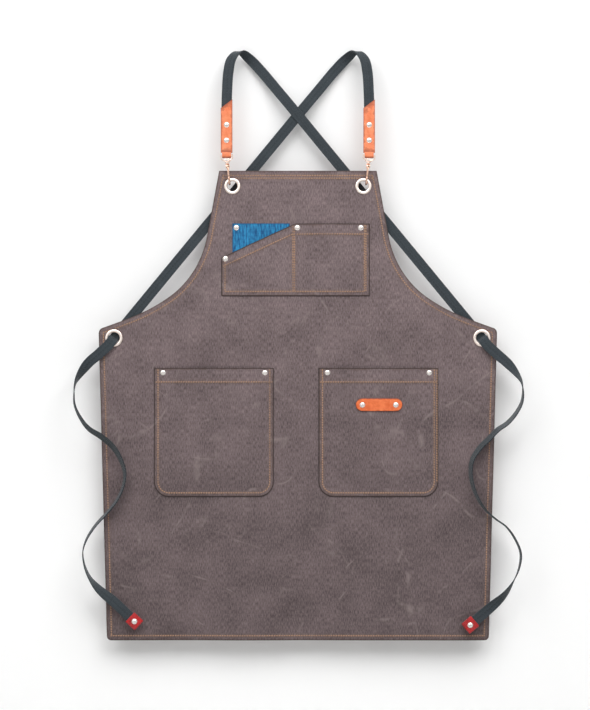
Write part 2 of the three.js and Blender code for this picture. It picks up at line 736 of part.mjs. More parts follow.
function makeTail(sideName) {
  const side = sideName === "left" ? -1 : 1;
  const centre = eyeletPoint(side);
  const inHand = (point) => vector(side * point.x, point.y, point.z);
  const placed = ([x, height, y]) => vector(centre.x + x, y, centre.z + height);
  const listed = tails[sideName];
  const last = placed(listed[listed.length - 1]);
  const straight = placed([...tailEnds[sideName], last.y]);
  const heading = straight.clone().sub(last).normalize();
  const points = [
    inHand(meetingPoint(clearance / 2)),
    inHand(meetingPoint(1.6)),
    ...listed.map(placed),
    straight,
    straight.clone().addScaledVector(heading, straightEnd / 2),
    straight.clone().addScaledVector(heading, straightEnd),
  ];
  const turns = [0, 0, ...listed.map((point) => point[3]), 0, 0, 0];
  const path = new THREE.CatmullRomCurve3(points, false, "centripetal");
  const widths = points.map((_, i) => {
    const along = path.getTangent(i / (points.length - 1));
    const deep = vector(0, 1, 0).addScaledVector(along, -along.y).normalize();
    const flat = along.clone().cross(deep);
    const turn = radians(turns[i]);
    return flat.multiplyScalar(Math.cos(turn)).addScaledVector(deep, Math.sin(turn));
  });

  // the tip's group has its origin at the end of the webbing and its Z back along the webbing
  const group = new THREE.Group();
  group.position.copy(points[points.length - 1]);
  group.rotation.y = Math.atan2(-heading.x, -heading.z);
  apron.add(group);
  group.updateMatrix();
  const fold = -clearance;
  const tall = fold + tipLength - strapGap - leatherThick;
  const leather = foldedLeather(tipWidth, strapGap, strapGap, fold, tall);
  const rivetZ = tall - tipLength / 2;
  add(sideName + "_strap_tip", cut(leather, rivetHole(0, rivetZ)), redLeather, group);
  doubleRivet(sideName + "_tip_rivet", 0, rivetZ, strapGap + leatherThick, group);

  const hole = drill(postRadius + clearance, 0, rivetZ, 6).applyMatrix4(group.matrix);
  const strip = ribbon(points, widths, strapWidth, strapThick, 76);
  add(sideName + "_strap_tail", cut(strip, hole), webbing);
}

// ---------- assembly ----------
makePanel();
for (const side of [-1, 1]) {
  const name = side < 0 ? "left_" : "right_";
  makeEyelet(name + "bib_eyelet", side, upperEyelet);
  makeEyelet(name + "waist_eyelet", side, lowerEyelet);
  makeTab(name + "leather_tab", side);
  tabRivets.forEach((height, i) =>
    doubleRivet(
      name + "tab_rivet_" + (i === 0 ? "upper" : "lower"),
      side * tabX,
      up(height),
      strapGap + leatherThick,
      apron,
    ),
  );
  makeHook(side);
}
makeChestPocket();
makeLining();
makeSkirtPocket("left");
makeSkirtPocket("right");
makeLabel();
for (const [name, x, depth, front] of panelRivets) rivet(name, x, down(depth), front, panelBack);
for (const [name, x, depth, front] of labelRivets) {
  rivet(name, x, down(depth), front, pocketFront + pocketCloth);
}
makeShoulderStrap("left_shoulder_strap", -1, -1.2);
makeShoulderStrap("right_shoulder_strap", 1, 1.2);
makeTail("left");
makeTail("right");

export default apron;
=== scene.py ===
import math

import bmesh
import bpy
import numpy as np
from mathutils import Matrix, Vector
from mathutils.geometry import delaunay_2d_cdt


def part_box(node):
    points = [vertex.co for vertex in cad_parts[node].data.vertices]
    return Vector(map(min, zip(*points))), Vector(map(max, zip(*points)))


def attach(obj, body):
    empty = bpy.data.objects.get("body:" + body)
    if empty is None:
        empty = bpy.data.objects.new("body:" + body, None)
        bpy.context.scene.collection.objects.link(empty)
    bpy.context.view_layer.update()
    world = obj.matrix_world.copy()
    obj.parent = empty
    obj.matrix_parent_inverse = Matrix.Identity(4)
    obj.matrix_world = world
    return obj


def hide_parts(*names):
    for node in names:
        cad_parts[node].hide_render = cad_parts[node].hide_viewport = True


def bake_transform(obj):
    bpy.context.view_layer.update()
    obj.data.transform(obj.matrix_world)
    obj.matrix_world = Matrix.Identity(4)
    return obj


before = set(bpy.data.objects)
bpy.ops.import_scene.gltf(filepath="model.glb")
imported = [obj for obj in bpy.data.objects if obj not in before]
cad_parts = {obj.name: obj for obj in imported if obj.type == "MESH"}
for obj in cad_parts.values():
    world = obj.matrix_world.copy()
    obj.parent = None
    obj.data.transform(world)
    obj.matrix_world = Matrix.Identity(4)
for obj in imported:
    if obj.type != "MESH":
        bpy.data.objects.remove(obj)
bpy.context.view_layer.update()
print("frame loaded,", len(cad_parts), "nodes")

mm = 0.001
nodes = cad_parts


def boxOf(node):
    low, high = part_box(node)
    return low / mm, high / mm  # everything below is worked out in millimetres


def middleOf(node):
    low, high = boxOf(node)
    return (low + high) / 2


def roundOf(node):
    # where a round fitting sits, and its radius
    low, high = boxOf(node)
    return (low.x + high.x) / 2, (low.z + high.z) / 2, (high.x - low.x) / 2


panelLow, panelHigh = boxOf("apron_panel")
bibTop = panelHigh.z
panelFace = panelLow.y  # the front of the cloth
panelInside = panelHigh.y


def paint(red, green, blue):
    # a colour as a screen shows it, turned to the values that light is reckoned in
    def channel(c):
        c /= 255
        return c / 12.92 if c < 0.04045 else ((c + 0.055) / 1.055) ** 2.4
    return (channel(red), channel(green), channel(blue), 1.0)


# camera, light and surroundings

studio = {
    "distance": 4.0,
    "sensor": 36.0,
    "viewHeight": 1.2354,  # height of what the camera takes in, at the apron
    "aimX": -0.005,
    "aimZ": -0.5280,
    "wallBehind": 0.036,
    "floorHeight": -1.55,
    "keyPower": 142.0,
    "sidePower": 98.0,
    "fillPower": 4.0,
    "rearPower": 34.0,
    "skyStrength": 0.21,
    "skyInMetal": 0.95,  # how bright the room is where polished metal mirrors it
}


def makeCamera():
    camera = bpy.data.cameras.new("camera")
    camera.sensor_fit = "VERTICAL"
    camera.sensor_height = studio["sensor"]
    camera.lens = studio["sensor"] * studio["distance"] / studio["viewHeight"]
    camera.clip_end = 50
    holder = bpy.data.objects.new("camera", camera)
    holder.location = (studio["aimX"], -studio["distance"], studio["aimZ"])
    holder.rotation_euler = (math.pi / 2, 0, 0)
    bpy.context.scene.collection.objects.link(holder)
    bpy.context.scene.camera = holder


def makeLight(name, place, target, size, power, tint=(1, 1, 1)):
    lamp = bpy.data.lights.new(name, "AREA")
    lamp.shape = "DISK"
    lamp.size = size
    lamp.energy = power
    lamp.color = tint
    holder = bpy.data.objects.new(name, lamp)
    holder.location = place
    holder.rotation_euler = (Vector(target) - Vector(place)).to_track_quat("-Z", "Y").to_euler()
    bpy.context.scene.collection.objects.link(holder)


def stagePlane(name, corners, look):
    mesh = bpy.data.meshes.new(name)
    mesh.from_pydata(corners, [], [(0, 1, 2, 3)])
    mesh.materials.append(look)
    plane = bpy.data.objects.new(name, mesh)
    bpy.context.scene.collection.objects.link(plane)


def newMaterial(name):
    material = bpy.data.materials.new(name)
    material.use_nodes = True
    material.node_tree.nodes.clear()
    return material, material.node_tree


def wire(tree, node, ins):
    for key, value in ins.items():
        if isinstance(value, bpy.types.NodeSocket):
            tree.links.new(value, node.inputs[key])
        else:
            node.inputs[key].default_value = value
    return node.outputs


def place(tree, kind, props=None, ins=None):
    node = tree.nodes.new("ShaderNode" + kind)
    for key, value in (props or {}).items():
        setattr(node, key, value)
    wire(tree, node, ins or {})
    return node


def marked(tree, name):
    return place(tree, "Attribute", {"attribute_name": name}).outputs["Fac"]


def placeFrom(tree, kind="Object"):
    return place(tree, "TexCoord").outputs[kind]


def axis(tree, vector, number):
    return place(tree, "SeparateXYZ", None, {0: vector}).outputs[number]


def calc(tree, operation, first, second=None, third=None, clamp=False):
    values = {i: v for i, v in enumerate((first, second, third)) if v is not None}
    node = place(tree, "Math", {"operation": operation, "use_clamp": clamp}, values)
    return node.outputs[0]


def times(tree, first, second):
    return calc(tree, "MULTIPLY", first, second)


def plus(tree, first, second):
    return calc(tree, "ADD", first, second)


def without(tree, value):
    return calc(tree, "SUBTRACT", 1.0, value)


def noise(tree, at, scale, detail, roughness=0.5, distortion=0.0):
    ins = {"Vector": at, "Scale": scale, "Detail": detail, "Roughness": roughness, "Distortion": distortion}
    return place(tree, "TexNoise", None, ins).outputs[0]


def spread(tree, value, low, high, toLow=0.0, toHigh=1.0):
    ins = {"Value": value, "From Min": low, "From Max": high, "To Min": toLow, "To Max": toHigh}
    return place(tree, "MapRange", {"interpolation_type": "SMOOTHSTEP"}, ins).outputs[0]


def blendColour(tree, share, first, second):
    props = {"data_type": "RGBA", "blend_type": "MIX", "clamp_factor": True}
    return place(tree, "Mix", props, {0: share, 6: first, 7: second}).outputs[2]


def stretched(tree, vector, scale):
    return place(tree, "VectorMath", {"operation": "MULTIPLY"}, {0: vector, 1: scale}).outputs[0]


def makeSurroundings():
    # the wall shows only from the front and lets the rear light through to the apron's back
    wall, tree = newMaterial("paper_wall")
    up = axis(tree, placeFrom(tree), 2)
    # painted shade: the wall is coloured darker towards the top, evening out the brighter light from the lamps above
    matt = place(tree, "BsdfDiffuse", None, {"Color": spread(tree, up, -1.1, 0.0, 1.0, 0.9)})
    clear = place(tree, "BsdfTransparent")
    path = place(tree, "LightPath")
    side = place(tree, "NewGeometry")
    seen = times(tree, path.outputs["Is Camera Ray"], without(tree, side.outputs["Backfacing"]))
    both = place(tree, "MixShader", None, {0: seen, 1: clear.outputs[0], 2: matt.outputs[0]})
    place(tree, "OutputMaterial", None, {"Surface": both.outputs[0]})
    y, floor = studio["wallBehind"], studio["floorHeight"]
    stagePlane("wall", [(-9, y, floor), (9, y, floor), (9, y, 9), (-9, y, 9)], wall)

    pale, tree = newMaterial("pale_floor")
    at = placeFrom(tree, "Generated")
    tone = blendColour(tree, noise(tree, at, 3.0, 4.0), (0.72, 0.72, 0.71, 1), (0.78, 0.78, 0.77, 1))
    floorShader = place(tree, "BsdfDiffuse", None, {"Color": tone})
    place(tree, "OutputMaterial", None, {"Surface": floorShader.outputs[0]})
    stagePlane("floor", [(-9, -9, floor), (9, -9, floor), (9, 9, floor), (-9, 9, floor)], pale)

    world = bpy.data.worlds.new("studio")
    world.use_nodes = True
    tree = world.node_tree
    tree.nodes.clear()
    height = axis(tree, placeFrom(tree, "Generated"), 2)
    sky = blendColour(tree, spread(tree, height, -0.55, 0.75), (0.74, 0.75, 0.77, 1), (1.0, 1.0, 1.0, 1))
    mirrored = place(tree, "LightPath").outputs["Is Glossy Ray"]
    ins = {"Value": mirrored, "To Min": studio["skyStrength"], "To Max": studio["skyInMetal"]}
    strength = place(tree, "MapRange", None, ins)
    glow = place(tree, "Background", None, {"Color": sky, "Strength": strength.outputs[0]})
    place(tree, "OutputWorld", None, {"Surface": glow.outputs[0]})
    bpy.context.scene.world = world
    bpy.context.scene.view_settings.view_transform = "Standard"

    middle = (0, 0, -0.5)
    makeLight("key", (1.35, -2.9, 2.7), middle, 3.6, studio["keyPower"])
    makeLight("side", (-1.5, -2.9, 2.5), middle, 3.6, studio["sidePower"])
    makeLight("fill", (-2.0, -2.4, -0.2), middle, 1.8, studio["fillPower"])
    makeLight("rear", (-0.4, 2.4, 1.2), middle, 1.8, studio["rearPower"])


makeCamera()
makeSurroundings()
print("studio ready")


# curves and routes

def splinePoint(points, share):
    # a smooth curve through the points, evened out by the square root of their distances
    spans = len(points) - 1
    at = min(max(share, 0.0), 1.0) * spans
    i = min(int(at), spans - 1)
    w = at - i
    p1, p2 = points[i], points[i + 1]
    p0 = points[i - 1] if i > 0 else p1 * 2 - p2
    p3 = points[i + 2] if i + 2 <= spans else p2 * 2 - p1
    d1 = max((p2 - p1).length ** 0.5, 1e-4)
    d0 = (p1 - p0).length ** 0.5
    d2 = (p3 - p2).length ** 0.5
    d0 = d0 if d0 > 1e-4 else d1
    d2 = d2 if d2 > 1e-4 else d1
    leave = ((p1 - p0) / d0 - (p2 - p0) / (d0 + d1) + (p2 - p1) / d1) * d1
    arrive = ((p2 - p1) / d1 - (p3 - p1) / (d1 + d2) + (p3 - p2) / d2) * d1
    return (
        p1 * (2 * w**3 - 3 * w**2 + 1)
        + leave * (w**3 - 2 * w**2 + w)
        + p2 * (-2 * w**3 + 3 * w**2)
        + arrive * (w**3 - w**2)
    )


def linkMesh(name, mesh, look):
    piece = bpy.data.objects.new(name, mesh)
    bpy.context.scene.collection.objects.link(piece)
    mesh.materials.append(look)
    mesh.shade_smooth()
    mesh.update()
    return piece


webbing = {
    "width": 18.0,
    "thick": 1.8,
    "steps": 300,
    # across the webbing: place from -1 to 1, and how thick it is there
    "section": [(-1.0, 0.30), (-0.985, 0.74), (-0.94, 1.0), (-0.80, 0.93), (-0.45, 1.0), (0.0, 1.0),
                (0.45, 1.0), (0.80, 0.93), (0.94, 1.0), (0.985, 0.74), (1.0, 0.30)],
}


def ribbon(name, points, widths, look, steps=None):
    # webbing swept along the points; its UVs are in metres, across and along
    steps = steps or webbing["steps"]
    half, thick = webbing["width"] / 2, webbing["thick"] / 2
    section = webbing["section"]
    loop = [(u, t) for u, t in section] + [(u, -t) for u, t in reversed(section)]
    count = len(loop)
    vertices, faces, uvs, line = [], [], [], []
    length = 0.0
    lengths = []
    for i in range(steps + 1):
        centre = splinePoint(points, i / steps)
        before = splinePoint(points, max(i / steps - 1e-3, 0))
        after = splinePoint(points, min(i / steps + 1e-3, 1))
        along = (after - before).normalized()
        wide = splinePoint(widths, i / steps)
        wide = (wide - along * wide.dot(along)).normalized()
        through = along.cross(wide).normalized()
        if line:
            length += (centre - line[-1]).length
        line.append(centre)
        lengths.append(length * mm)
        for u, t in loop:
            vertices.append((centre + wide * (u * half) + through * (t * thick)) * mm)
    across = [0.0]
    for (u0, t0), (u1, t1) in zip(loop, loop[1:] + loop[:1]):
        across.append(across[-1] + math.hypot((u1 - u0) * half, (t1 - t0) * thick) * mm)
    for i in range(steps):
        for k in range(count):
            n = (k + 1) % count
            a, b = i * count + k, i * count + n
            faces.append((a, b, b + count, a + count))
            uvs += [(across[k], lengths[i]), (across[k + 1], lengths[i]),
                    (across[k + 1], lengths[i + 1]), (across[k], lengths[i + 1])]
    last = steps * count
    faces.append(tuple(range(count))[::-1])
    uvs += [(across[k], lengths[0]) for k in range(count)][::-1]
    faces.append(tuple(last + k for k in range(count)))
    uvs += [(across[k], lengths[-1]) for k in range(count)]
    mesh = bpy.data.meshes.new(name)
    mesh.from_pydata(vertices, [], faces)
    layer = mesh.uv_layers.new(name="UVMap")
    layer.data.foreach_set("uv", np.array(uvs, np.float32).ravel())
    piece = linkMesh(name, mesh, look)
    faceOutwards(piece)
    return piece, line


def settle(piece, node, body="apron"):
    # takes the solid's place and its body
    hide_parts(node)
    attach(piece, body)


def storeValues(mesh, name, values):
    mesh.attributes.new(name, "FLOAT", "POINT").data.foreach_set("value", values)


def faceOutwards(piece):
    work = bmesh.new()
    work.from_mesh(piece.data)
    bmesh.ops.recalc_face_normals(work, faces=work.faces)
    work.to_mesh(piece.data)
    work.free()
    piece.data.update()


# shared effects, as groups that each material uses with its own values

def newGroup(name, inputs, outputs):
    group = bpy.data.node_groups.new(name, "ShaderNodeTree")
    for label, kind, value in inputs:
        socket = group.interface.new_socket(label, in_out="INPUT", socket_type="NodeSocket" + kind)
        if value is not None:
            socket.default_value = value
    for label, kind in outputs:
        group.interface.new_socket(label, in_out="OUTPUT", socket_type="NodeSocket" + kind)
    entry = group.nodes.new("NodeGroupInput")
    leave = group.nodes.new("NodeGroupOutput")
    return group, entry.outputs, leave.inputs


def makeWeaveGroup():
    # crossing threads: their height, and a tone that differs from thread to thread
    group, entry, leave = newGroup(
        "plainWeave",
        [("Place", "Vector", None), ("Across", "Float", 1300.0), ("Along", "Float", 1300.0),
         ("Over", "Float", 2.0)],
        [("Height", "Float"), ("Tone", "Float")],
    )
    parts = place(group, "SeparateXYZ", None, {0: entry["Place"]}).outputs
    u = times(group, parts[0], entry["Across"])
    v = times(group, parts[1], entry["Along"])
    column, row = calc(group, "FLOOR", u), calc(group, "FLOOR", v)
    warp = calc(group, "ABSOLUTE", calc(group, "SINE", times(group, u, math.pi)))
    weft = calc(group, "ABSOLUTE", calc(group, "SINE", times(group, v, math.pi)))
    turn = calc(group, "FLOORED_MODULO", plus(group, column, row), entry["Over"])
    above = calc(group, "LESS_THAN", turn, times(group, entry["Over"], 0.5))
    below = without(group, above)
    height = plus(group, times(group, warp, above), times(group, weft, below))
    group.links.new(height, leave["Height"])
    warpTone, weftTone = (
        place(group, "TexWhiteNoise", {"noise_dimensions": "1D"}, {"W": number}).outputs[0]
        for number in (column, plus(group, row, 0.37))
    )
    tone = plus(group, times(group, warpTone, above), times(group, weftTone, below))
    group.links.new(tone, leave["Tone"])
    return group


def makeHeatherGroup():
    # uneven yarn seen from further off: short slubs both ways, and cloudy patches
    group, entry, leave = newGroup(
        "heather",
        [("Place", "Vector", None), ("Slub", "Float", 260.0), ("Stretch", "Float", 0.16)],
        [("Slubs", "Float"), ("Clouds", "Float")],
    )
    parts = place(group, "SeparateXYZ", None, {0: entry["Place"]}).outputs
    fine, coarse = entry["Slub"], times(group, entry["Slub"], entry["Stretch"])

    def slub(first, second):
        ins = {0: times(group, parts[0], first), 1: times(group, parts[1], second)}
        at = place(group, "CombineXYZ", None, ins)
        return noise(group, at.outputs[0], 1.0, 2.0)
    upright, lying = times(group, slub(fine, coarse), 0.84), times(group, slub(coarse, fine), 0.16)
    group.links.new(plus(group, upright, lying), leave["Slubs"])
    group.links.new(noise(group, entry["Place"], 15.0, 5.0, 0.6), leave["Clouds"])
    return group


def makeCreaseGroup():
    # lines where waxed cloth has been folded and the wax has cracked: short, broken, and only in patches
    group, entry, leave = newGroup(
        "waxCreases",
        [("Place", "Vector", None), ("Turn", "Float", 0.6), ("Scale", "Float", 9.0),
         ("Width", "Float", 0.012), ("Amount", "Float", 0.5)],
        [("Lines", "Float")],
    )
    ins = {"Vector": entry["Place"], "Angle": entry["Turn"]}
    turned = place(group, "VectorRotate", {"rotation_type": "Z_AXIS"}, ins).outputs[0]
    long = stretched(group, turned, (0.42, 1.0, 1.0))
    folds = noise(group, long, entry["Scale"], 2.0, 0.4, 0.12)
    off = calc(group, "ABSOLUTE", calc(group, "SUBTRACT", folds, 0.5))
    thin = without(group, calc(group, "DIVIDE", off, entry["Width"], clamp=True))
    broken = spread(group, noise(group, entry["Place"], 42.0, 3.0), 0.42, 0.62)
    patches = spread(group, noise(group, turned, 8.0, 2.0), 0.44, 0.62)
    found = times(group, thin, times(group, patches, broken))
    group.links.new(times(group, found, entry["Amount"]), leave["Lines"])
    return group


def makeEdgeWearAndShadeGroup():
    # near the cut edge, broken up by noise: where a rim has been handled on cloth and leather, and painted shade at
    # the eyelets' rounded edges
    group, entry, leave = newGroup(
        "edgeWearAndPaintedShade",
        [("Distance", "Float", 1.0), ("Place", "Vector", None), ("Reach", "Float", 0.3),
         ("Scale", "Float", 90.0)],
        [("Wear", "Float")],
    )
    blotches = noise(group, entry["Place"], entry["Scale"], 3.0)
    uneven = times(group, entry["Reach"], spread(group, blotches, 0.3, 0.7, 0.35, 1.4))
    depth = calc(group, "DIVIDE", entry["Distance"], uneven, clamp=True)
    group.links.new(without(group, depth), leave["Wear"])
    return group


def makeHideGroup():
    # leather grain: small cells with fine pores
    group, entry, leave = newGroup(
        "hideGrain",
        [("Place", "Vector", None), ("Scale", "Float", 900.0)],
        [("Height", "Float"), ("Tone", "Float")],
    )
    cells = place(group, "TexVoronoi", {"feature": "SMOOTH_F1"},
                  {"Vector": entry["Place"], "Scale": entry["Scale"], "Smoothness": 0.5})
    pores = noise(group, entry["Place"], times(group, entry["Scale"], 2.6), 2.0)
    height = plus(group, times(group, cells.outputs["Distance"], 0.7), times(group, pores, 0.3))
    group.links.new(height, leave["Height"])
    group.links.new(noise(group, entry["Place"], 85.0, 5.0, 0.65), leave["Tone"])
    return group


def makeHandledGroup():
    # fine scuffs and finger marks on metal, for its roughness
    group, entry, leave = newGroup(
        "handledMetal",
        [("Place", "Vector", None), ("Scale", "Float", 260.0), ("Low", "Float", 0.12),
         ("High", "Float", 0.34)],
        [("Roughness", "Float"), ("Height", "Float")],
    )
    marks = noise(group, entry["Place"], entry["Scale"], 5.0, 0.7)
    ins = {"Value": marks, "From Min": 0.3, "From Max": 0.7, "To Min": entry["Low"], "To Max": entry["High"]}
    group.links.new(place(group, "MapRange", None, ins).outputs[0], leave["Roughness"])
    group.links.new(marks, leave["Height"])
    return group


weaveGroup = makeWeaveGroup()
heatherGroup = makeHeatherGroup()
creaseGroup = makeCreaseGroup()
edgeWearAndShadeGroup = makeEdgeWearAndShadeGroup()
hideGroup = makeHideGroup()
handledGroup = makeHandledGroup()


def useGroup(tree, group, ins):
    node = tree.nodes.new("ShaderNodeGroup")
    node.node_tree = group
    return wire(tree, node, ins)


def facePlace(tree):
    # the place on the apron's face: across and up, in metres
    at = placeFrom(tree)
    parts = place(tree, "SeparateXYZ", None, {0: at}).outputs
    return place(tree, "CombineXYZ", None, {0: parts[0], 1: parts[2], 2: parts[1]}).outputs[0]


def rimWearAndPaintedShade(tree, at, reach, scale):
    ins = {"Distance": marked(tree, "edge"), "Place": at, "Reach": reach, "Scale": scale}
    return useGroup(tree, edgeWearAndShadeGroup, ins)["Wear"]


def bumped(tree, height, distance, strength=1.0, under=None):
    ins = {"Height": height, "Distance": distance, "Strength": strength}
    if under:
        ins["Normal"] = under
    return place(tree, "Bump", None, ins).outputs[0]


def finished(tree, ins):
    shader = place(tree, "BsdfPrincipled", None, ins)
    place(tree, "OutputMaterial", None, {"Surface": shader.outputs[0]})


def makeCanvasLook(name, settings):
    material, tree = newMaterial(name)
    at = facePlace(tree)
    threads = settings["threads"]
    weave = useGroup(tree, weaveGroup, {"Place": at, "Across": threads, "Along": threads * 0.86,
                                        "Over": settings["over"]})
    yarn = useGroup(tree, heatherGroup, {"Place": at, "Slub": settings["slub"], "Stretch": 0.17})
    lines = None
    for turn, scale in settings["creaseSets"]:
        found = useGroup(tree, creaseGroup, {"Place": at, "Turn": turn, "Scale": scale,
                                             "Width": settings["creaseWidth"], "Amount": settings["creases"]})
        lines = calc(tree, "MAXIMUM", lines, found["Lines"]) if lines else found["Lines"]
    edge = marked(tree, "edge")
    slubs = spread(tree, yarn["Slubs"], 0.34, 0.66)
    tone = plus(tree, times(tree, slubs, 0.8), times(tree, weave["Tone"], 0.2))
    colour = blendColour(tree, tone, settings["dark"], settings["light"])
    cloudy = spread(tree, yarn["Clouds"], 0.28, 0.72)
    # painted light: the cloth is made lighter towards the bib and darker towards the hem, as the light from above
    # falls on it
    height = axis(tree, at, 1)
    fadedPatchAndPaintedTopLight = spread(tree, height, *settings["paintedLightByHeight"])
    mottle = times(tree, calc(tree, "SUBTRACT", yarn["Clouds"], 0.5), settings["mottle"])
    share = times(tree, fadedPatchAndPaintedTopLight, plus(tree, 1.0, mottle))
    colour = place(tree, "VectorMath", {"operation": "SCALE"}, {0: colour, "Scale": share}).outputs[0]
    colour = blendColour(tree, times(tree, cloudy, settings["patches"]), colour, settings["fadedPatchAndPaintedTopLight"])
    colour = blendColour(tree, lines, colour, settings["cracked"])
    colour = blendColour(tree, times(tree, rimWearAndPaintedShade(tree, at, 0.32, 60.0), settings["wear"]), colour, settings["worn"])
    # painted shadow: a dark line along every cut edge, as a raised rim would cast it
    paintedRimShadow = times(tree, spread(tree, edge, 0.03, 0.15, 1.0, 0.0), settings["rimShade"])
    colour = blendColour(tree, paintedRimShadow, colour, settings["rim"])
    # cloth rubbed brown and drawn together along its seams
    seam = marked(tree, "seam")
    gather = noise(tree, at, 150.0, 2.0)
    rubbed = times(tree, seam, spread(tree, gather, 0.35, 0.65, 0.2, 0.75))
    colour = blendColour(tree, times(tree, rubbed, settings["seamRub"]), colour, settings["seam"])
    rough = plus(tree, 0.74, times(tree, slubs, 0.14))
    normal = bumped(tree, times(tree, seam, gather), 0.0011)
    normal = bumped(tree, weave["Height"], settings["threadHeight"], 1.0, normal)
    normal = bumped(tree, plus(tree, slubs, times(tree, lines, 0.9)), 0.00018, 0.6, normal)
    finished(tree, {"Base Color": colour, "Roughness": rough, "Normal": normal,
                    "Sheen Weight": settings["sheen"], "Sheen Roughness": 0.5, "Specular IOR Level": 0.25})
    return material


canvasLook = {
    "threads": 1250.0, "over": 3.0, "slub": 860.0, "threadHeight": 0.00025,
    "dark": paint(82, 69, 70), "light": paint(136, 120, 121), "fadedPatchAndPaintedTopLight": paint(126, 111, 113), "patches": 0.2,
    "paintedLightByHeight": (-1.0, -0.25, 0.86, 1.23),  # heights of hem and bib, and how much the painted light brightens the cloth at each
    "mottle": 1.05,
    "cracked": paint(152, 138, 136), "creases": 0.6, "creaseWidth": 0.011,
    "creaseSets": [(0.62, 9.0), (-0.95, 12.0), (2.2, 7.0)],  # the way each set runs, how close it lies
    # rim: the colour of the painted shadow along the cut edges
    "worn": paint(88, 66, 56), "wear": 0.55, "rim": paint(58, 42, 38), "rimShade": 0.6,
    "seam": paint(126, 102, 88), "seamRub": 0.8, "sheen": 0.12,
}
canvas = makeCanvasLook("waxed_canvas", canvasLook)
# the pockets' edges get a darker, stronger painted shadow
pocketCanvasLook = dict(canvasLook, rim=paint(34, 24, 22), rimShade=0.82, wear=0.7)
pocketCanvas = makeCanvasLook("waxed_pocket_canvas", pocketCanvasLook)

feltLook = dict(
    canvasLook, threads=1500.0, slub=420.0, threadHeight=0.00016,
    dark=paint(0, 52, 104), light=paint(46, 140, 188), fadedPatchAndPaintedTopLight=paint(40, 112, 154), cracked=paint(70, 140, 180),
    creases=0.12, worn=paint(22, 84, 126), wear=0.3, rim=paint(10, 50, 90), sheen=0.3,
)
blueCloth = makeCanvasLook("blue_lining_cloth", feltLook)


webbingLook = {
    "rib": 560.0, "ends": 480.0, "dark": paint(36, 42, 46), "light": paint(69, 77, 83),
    # gap: the colour of the painted shade between the threads
    "gap": paint(24, 28, 31), "dust": paint(86, 93, 98),
}


def makeWebbingLook(settings):
    material, tree = newMaterial("slate_webbing")
    at = placeFrom(tree, "UV")
    ins = {"Place": at, "Across": settings["ends"], "Along": settings["rib"], "Over": 3.0}
    weave = useGroup(tree, weaveGroup, ins)
    yarn = useGroup(tree, heatherGroup, {"Place": at, "Slub": 520.0, "Stretch": 0.2})
    tone = plus(tree, times(tree, weave["Tone"], 0.45), times(tree, yarn["Slubs"], 0.55))
    valley = spread(tree, weave["Height"], 0.0, 0.75)
    colour = blendColour(tree, tone, settings["dark"], settings["light"])
    # painted shade: the valleys between the threads are darkened towards the gap colour, where shade falls in the
    # weave
    colour = blendColour(tree, times(tree, without(tree, valley), 0.6), colour, settings["gap"])
    lint = spread(tree, yarn["Clouds"], 0.5, 0.78)
    colour = blendColour(tree, times(tree, lint, 0.25), colour, settings["dust"])
    normal = bumped(tree, weave["Height"], 0.00035)
    rough = plus(tree, 0.62, times(tree, tone, 0.2))
    finished(tree, {"Base Color": colour, "Roughness": rough, "Normal": normal, "Sheen Weight": 0.22,
                    "Sheen Roughness": 0.4, "Specular IOR Level": 0.25})
    return material


def makeLeatherLook(name, settings):
    material, tree = newMaterial(name)
    at = placeFrom(tree)
    grain = useGroup(tree, hideGroup, {"Place": at, "Scale": settings["grain"]})
    burnish = rimWearAndPaintedShade(tree, at, settings["burnishReach"], 160.0)
    colour = blendColour(tree, spread(tree, grain["Tone"], 0.3, 0.7), settings["deep"], settings["bright"])
    pits = spread(tree, grain["Height"], 0.18, 0.5)
    colour = blendColour(tree, times(tree, without(tree, pits), 0.35), colour, settings["pit"])
    colour = blendColour(tree, times(tree, burnish, 0.85), colour, settings["rim"])
    rough = plus(tree, settings["gloss"], times(tree, grain["Height"], 0.25))
    normal = bumped(tree, grain["Height"], settings["grainHeight"])
    finished(tree, {"Base Color": colour, "Roughness": rough, "Normal": normal,
                    "Coat Weight": settings["coat"],
                    "Coat Roughness": 0.2, "Specular IOR Level": 0.4})
    return material


orangeLeather = makeLeatherLook("orange_leather", {
    "grain": 1100.0, "grainHeight": 0.00016, "deep": paint(227, 121, 76), "bright": paint(242, 147, 103),
    "pit": paint(186, 82, 44), "rim": paint(134, 54, 26), "burnishReach": 0.42, "gloss": 0.38, "coat": 0.08,
})
labelLeather = makeLeatherLook("label_leather", {
    "grain": 1100.0, "grainHeight": 0.00016, "deep": paint(214, 96, 46), "bright": paint(236, 126, 74),
    "pit": paint(176, 72, 34), "rim": paint(128, 50, 24), "burnishReach": 0.3, "gloss": 0.42, "coat": 0.06,
})
redLeather = makeLeatherLook("red_leather", {
    "grain": 1000.0, "grainHeight": 0.00008, "deep": paint(150, 4, 10), "bright": paint(192, 12, 18),
    "pit": paint(104, 4, 8), "rim": paint(78, 4, 8), "burnishReach": 0.45, "gloss": 0.14, "coat": 0.5,
})


def makeMetalLook(name, settings):
    material, tree = newMaterial(name)
    at = placeFrom(tree)
    low, high = settings["gloss"]
    marks = useGroup(tree, handledGroup, {"Place": at, "Scale": settings["marks"], "Low": low, "High": high})
    rubbed = spread(tree, marks["Height"], 0.35, 0.7)
    colour = blendColour(tree, rubbed, settings["colour"], settings["rubbed"])
    # on the eyelets this darkens the rounded inner and outer edges: painted shade
    if "rim" in settings:
        colour = blendColour(tree, rimWearAndPaintedShade(tree, at, settings["rimReach"], 300.0), colour, settings["rim"])
    normal = bumped(tree, marks["Height"], 0.00001, 0.5)
    finished(tree, {"Base Color": colour, "Metallic": 1.0, "Roughness": marks["Roughness"], "Normal": normal})
    return material


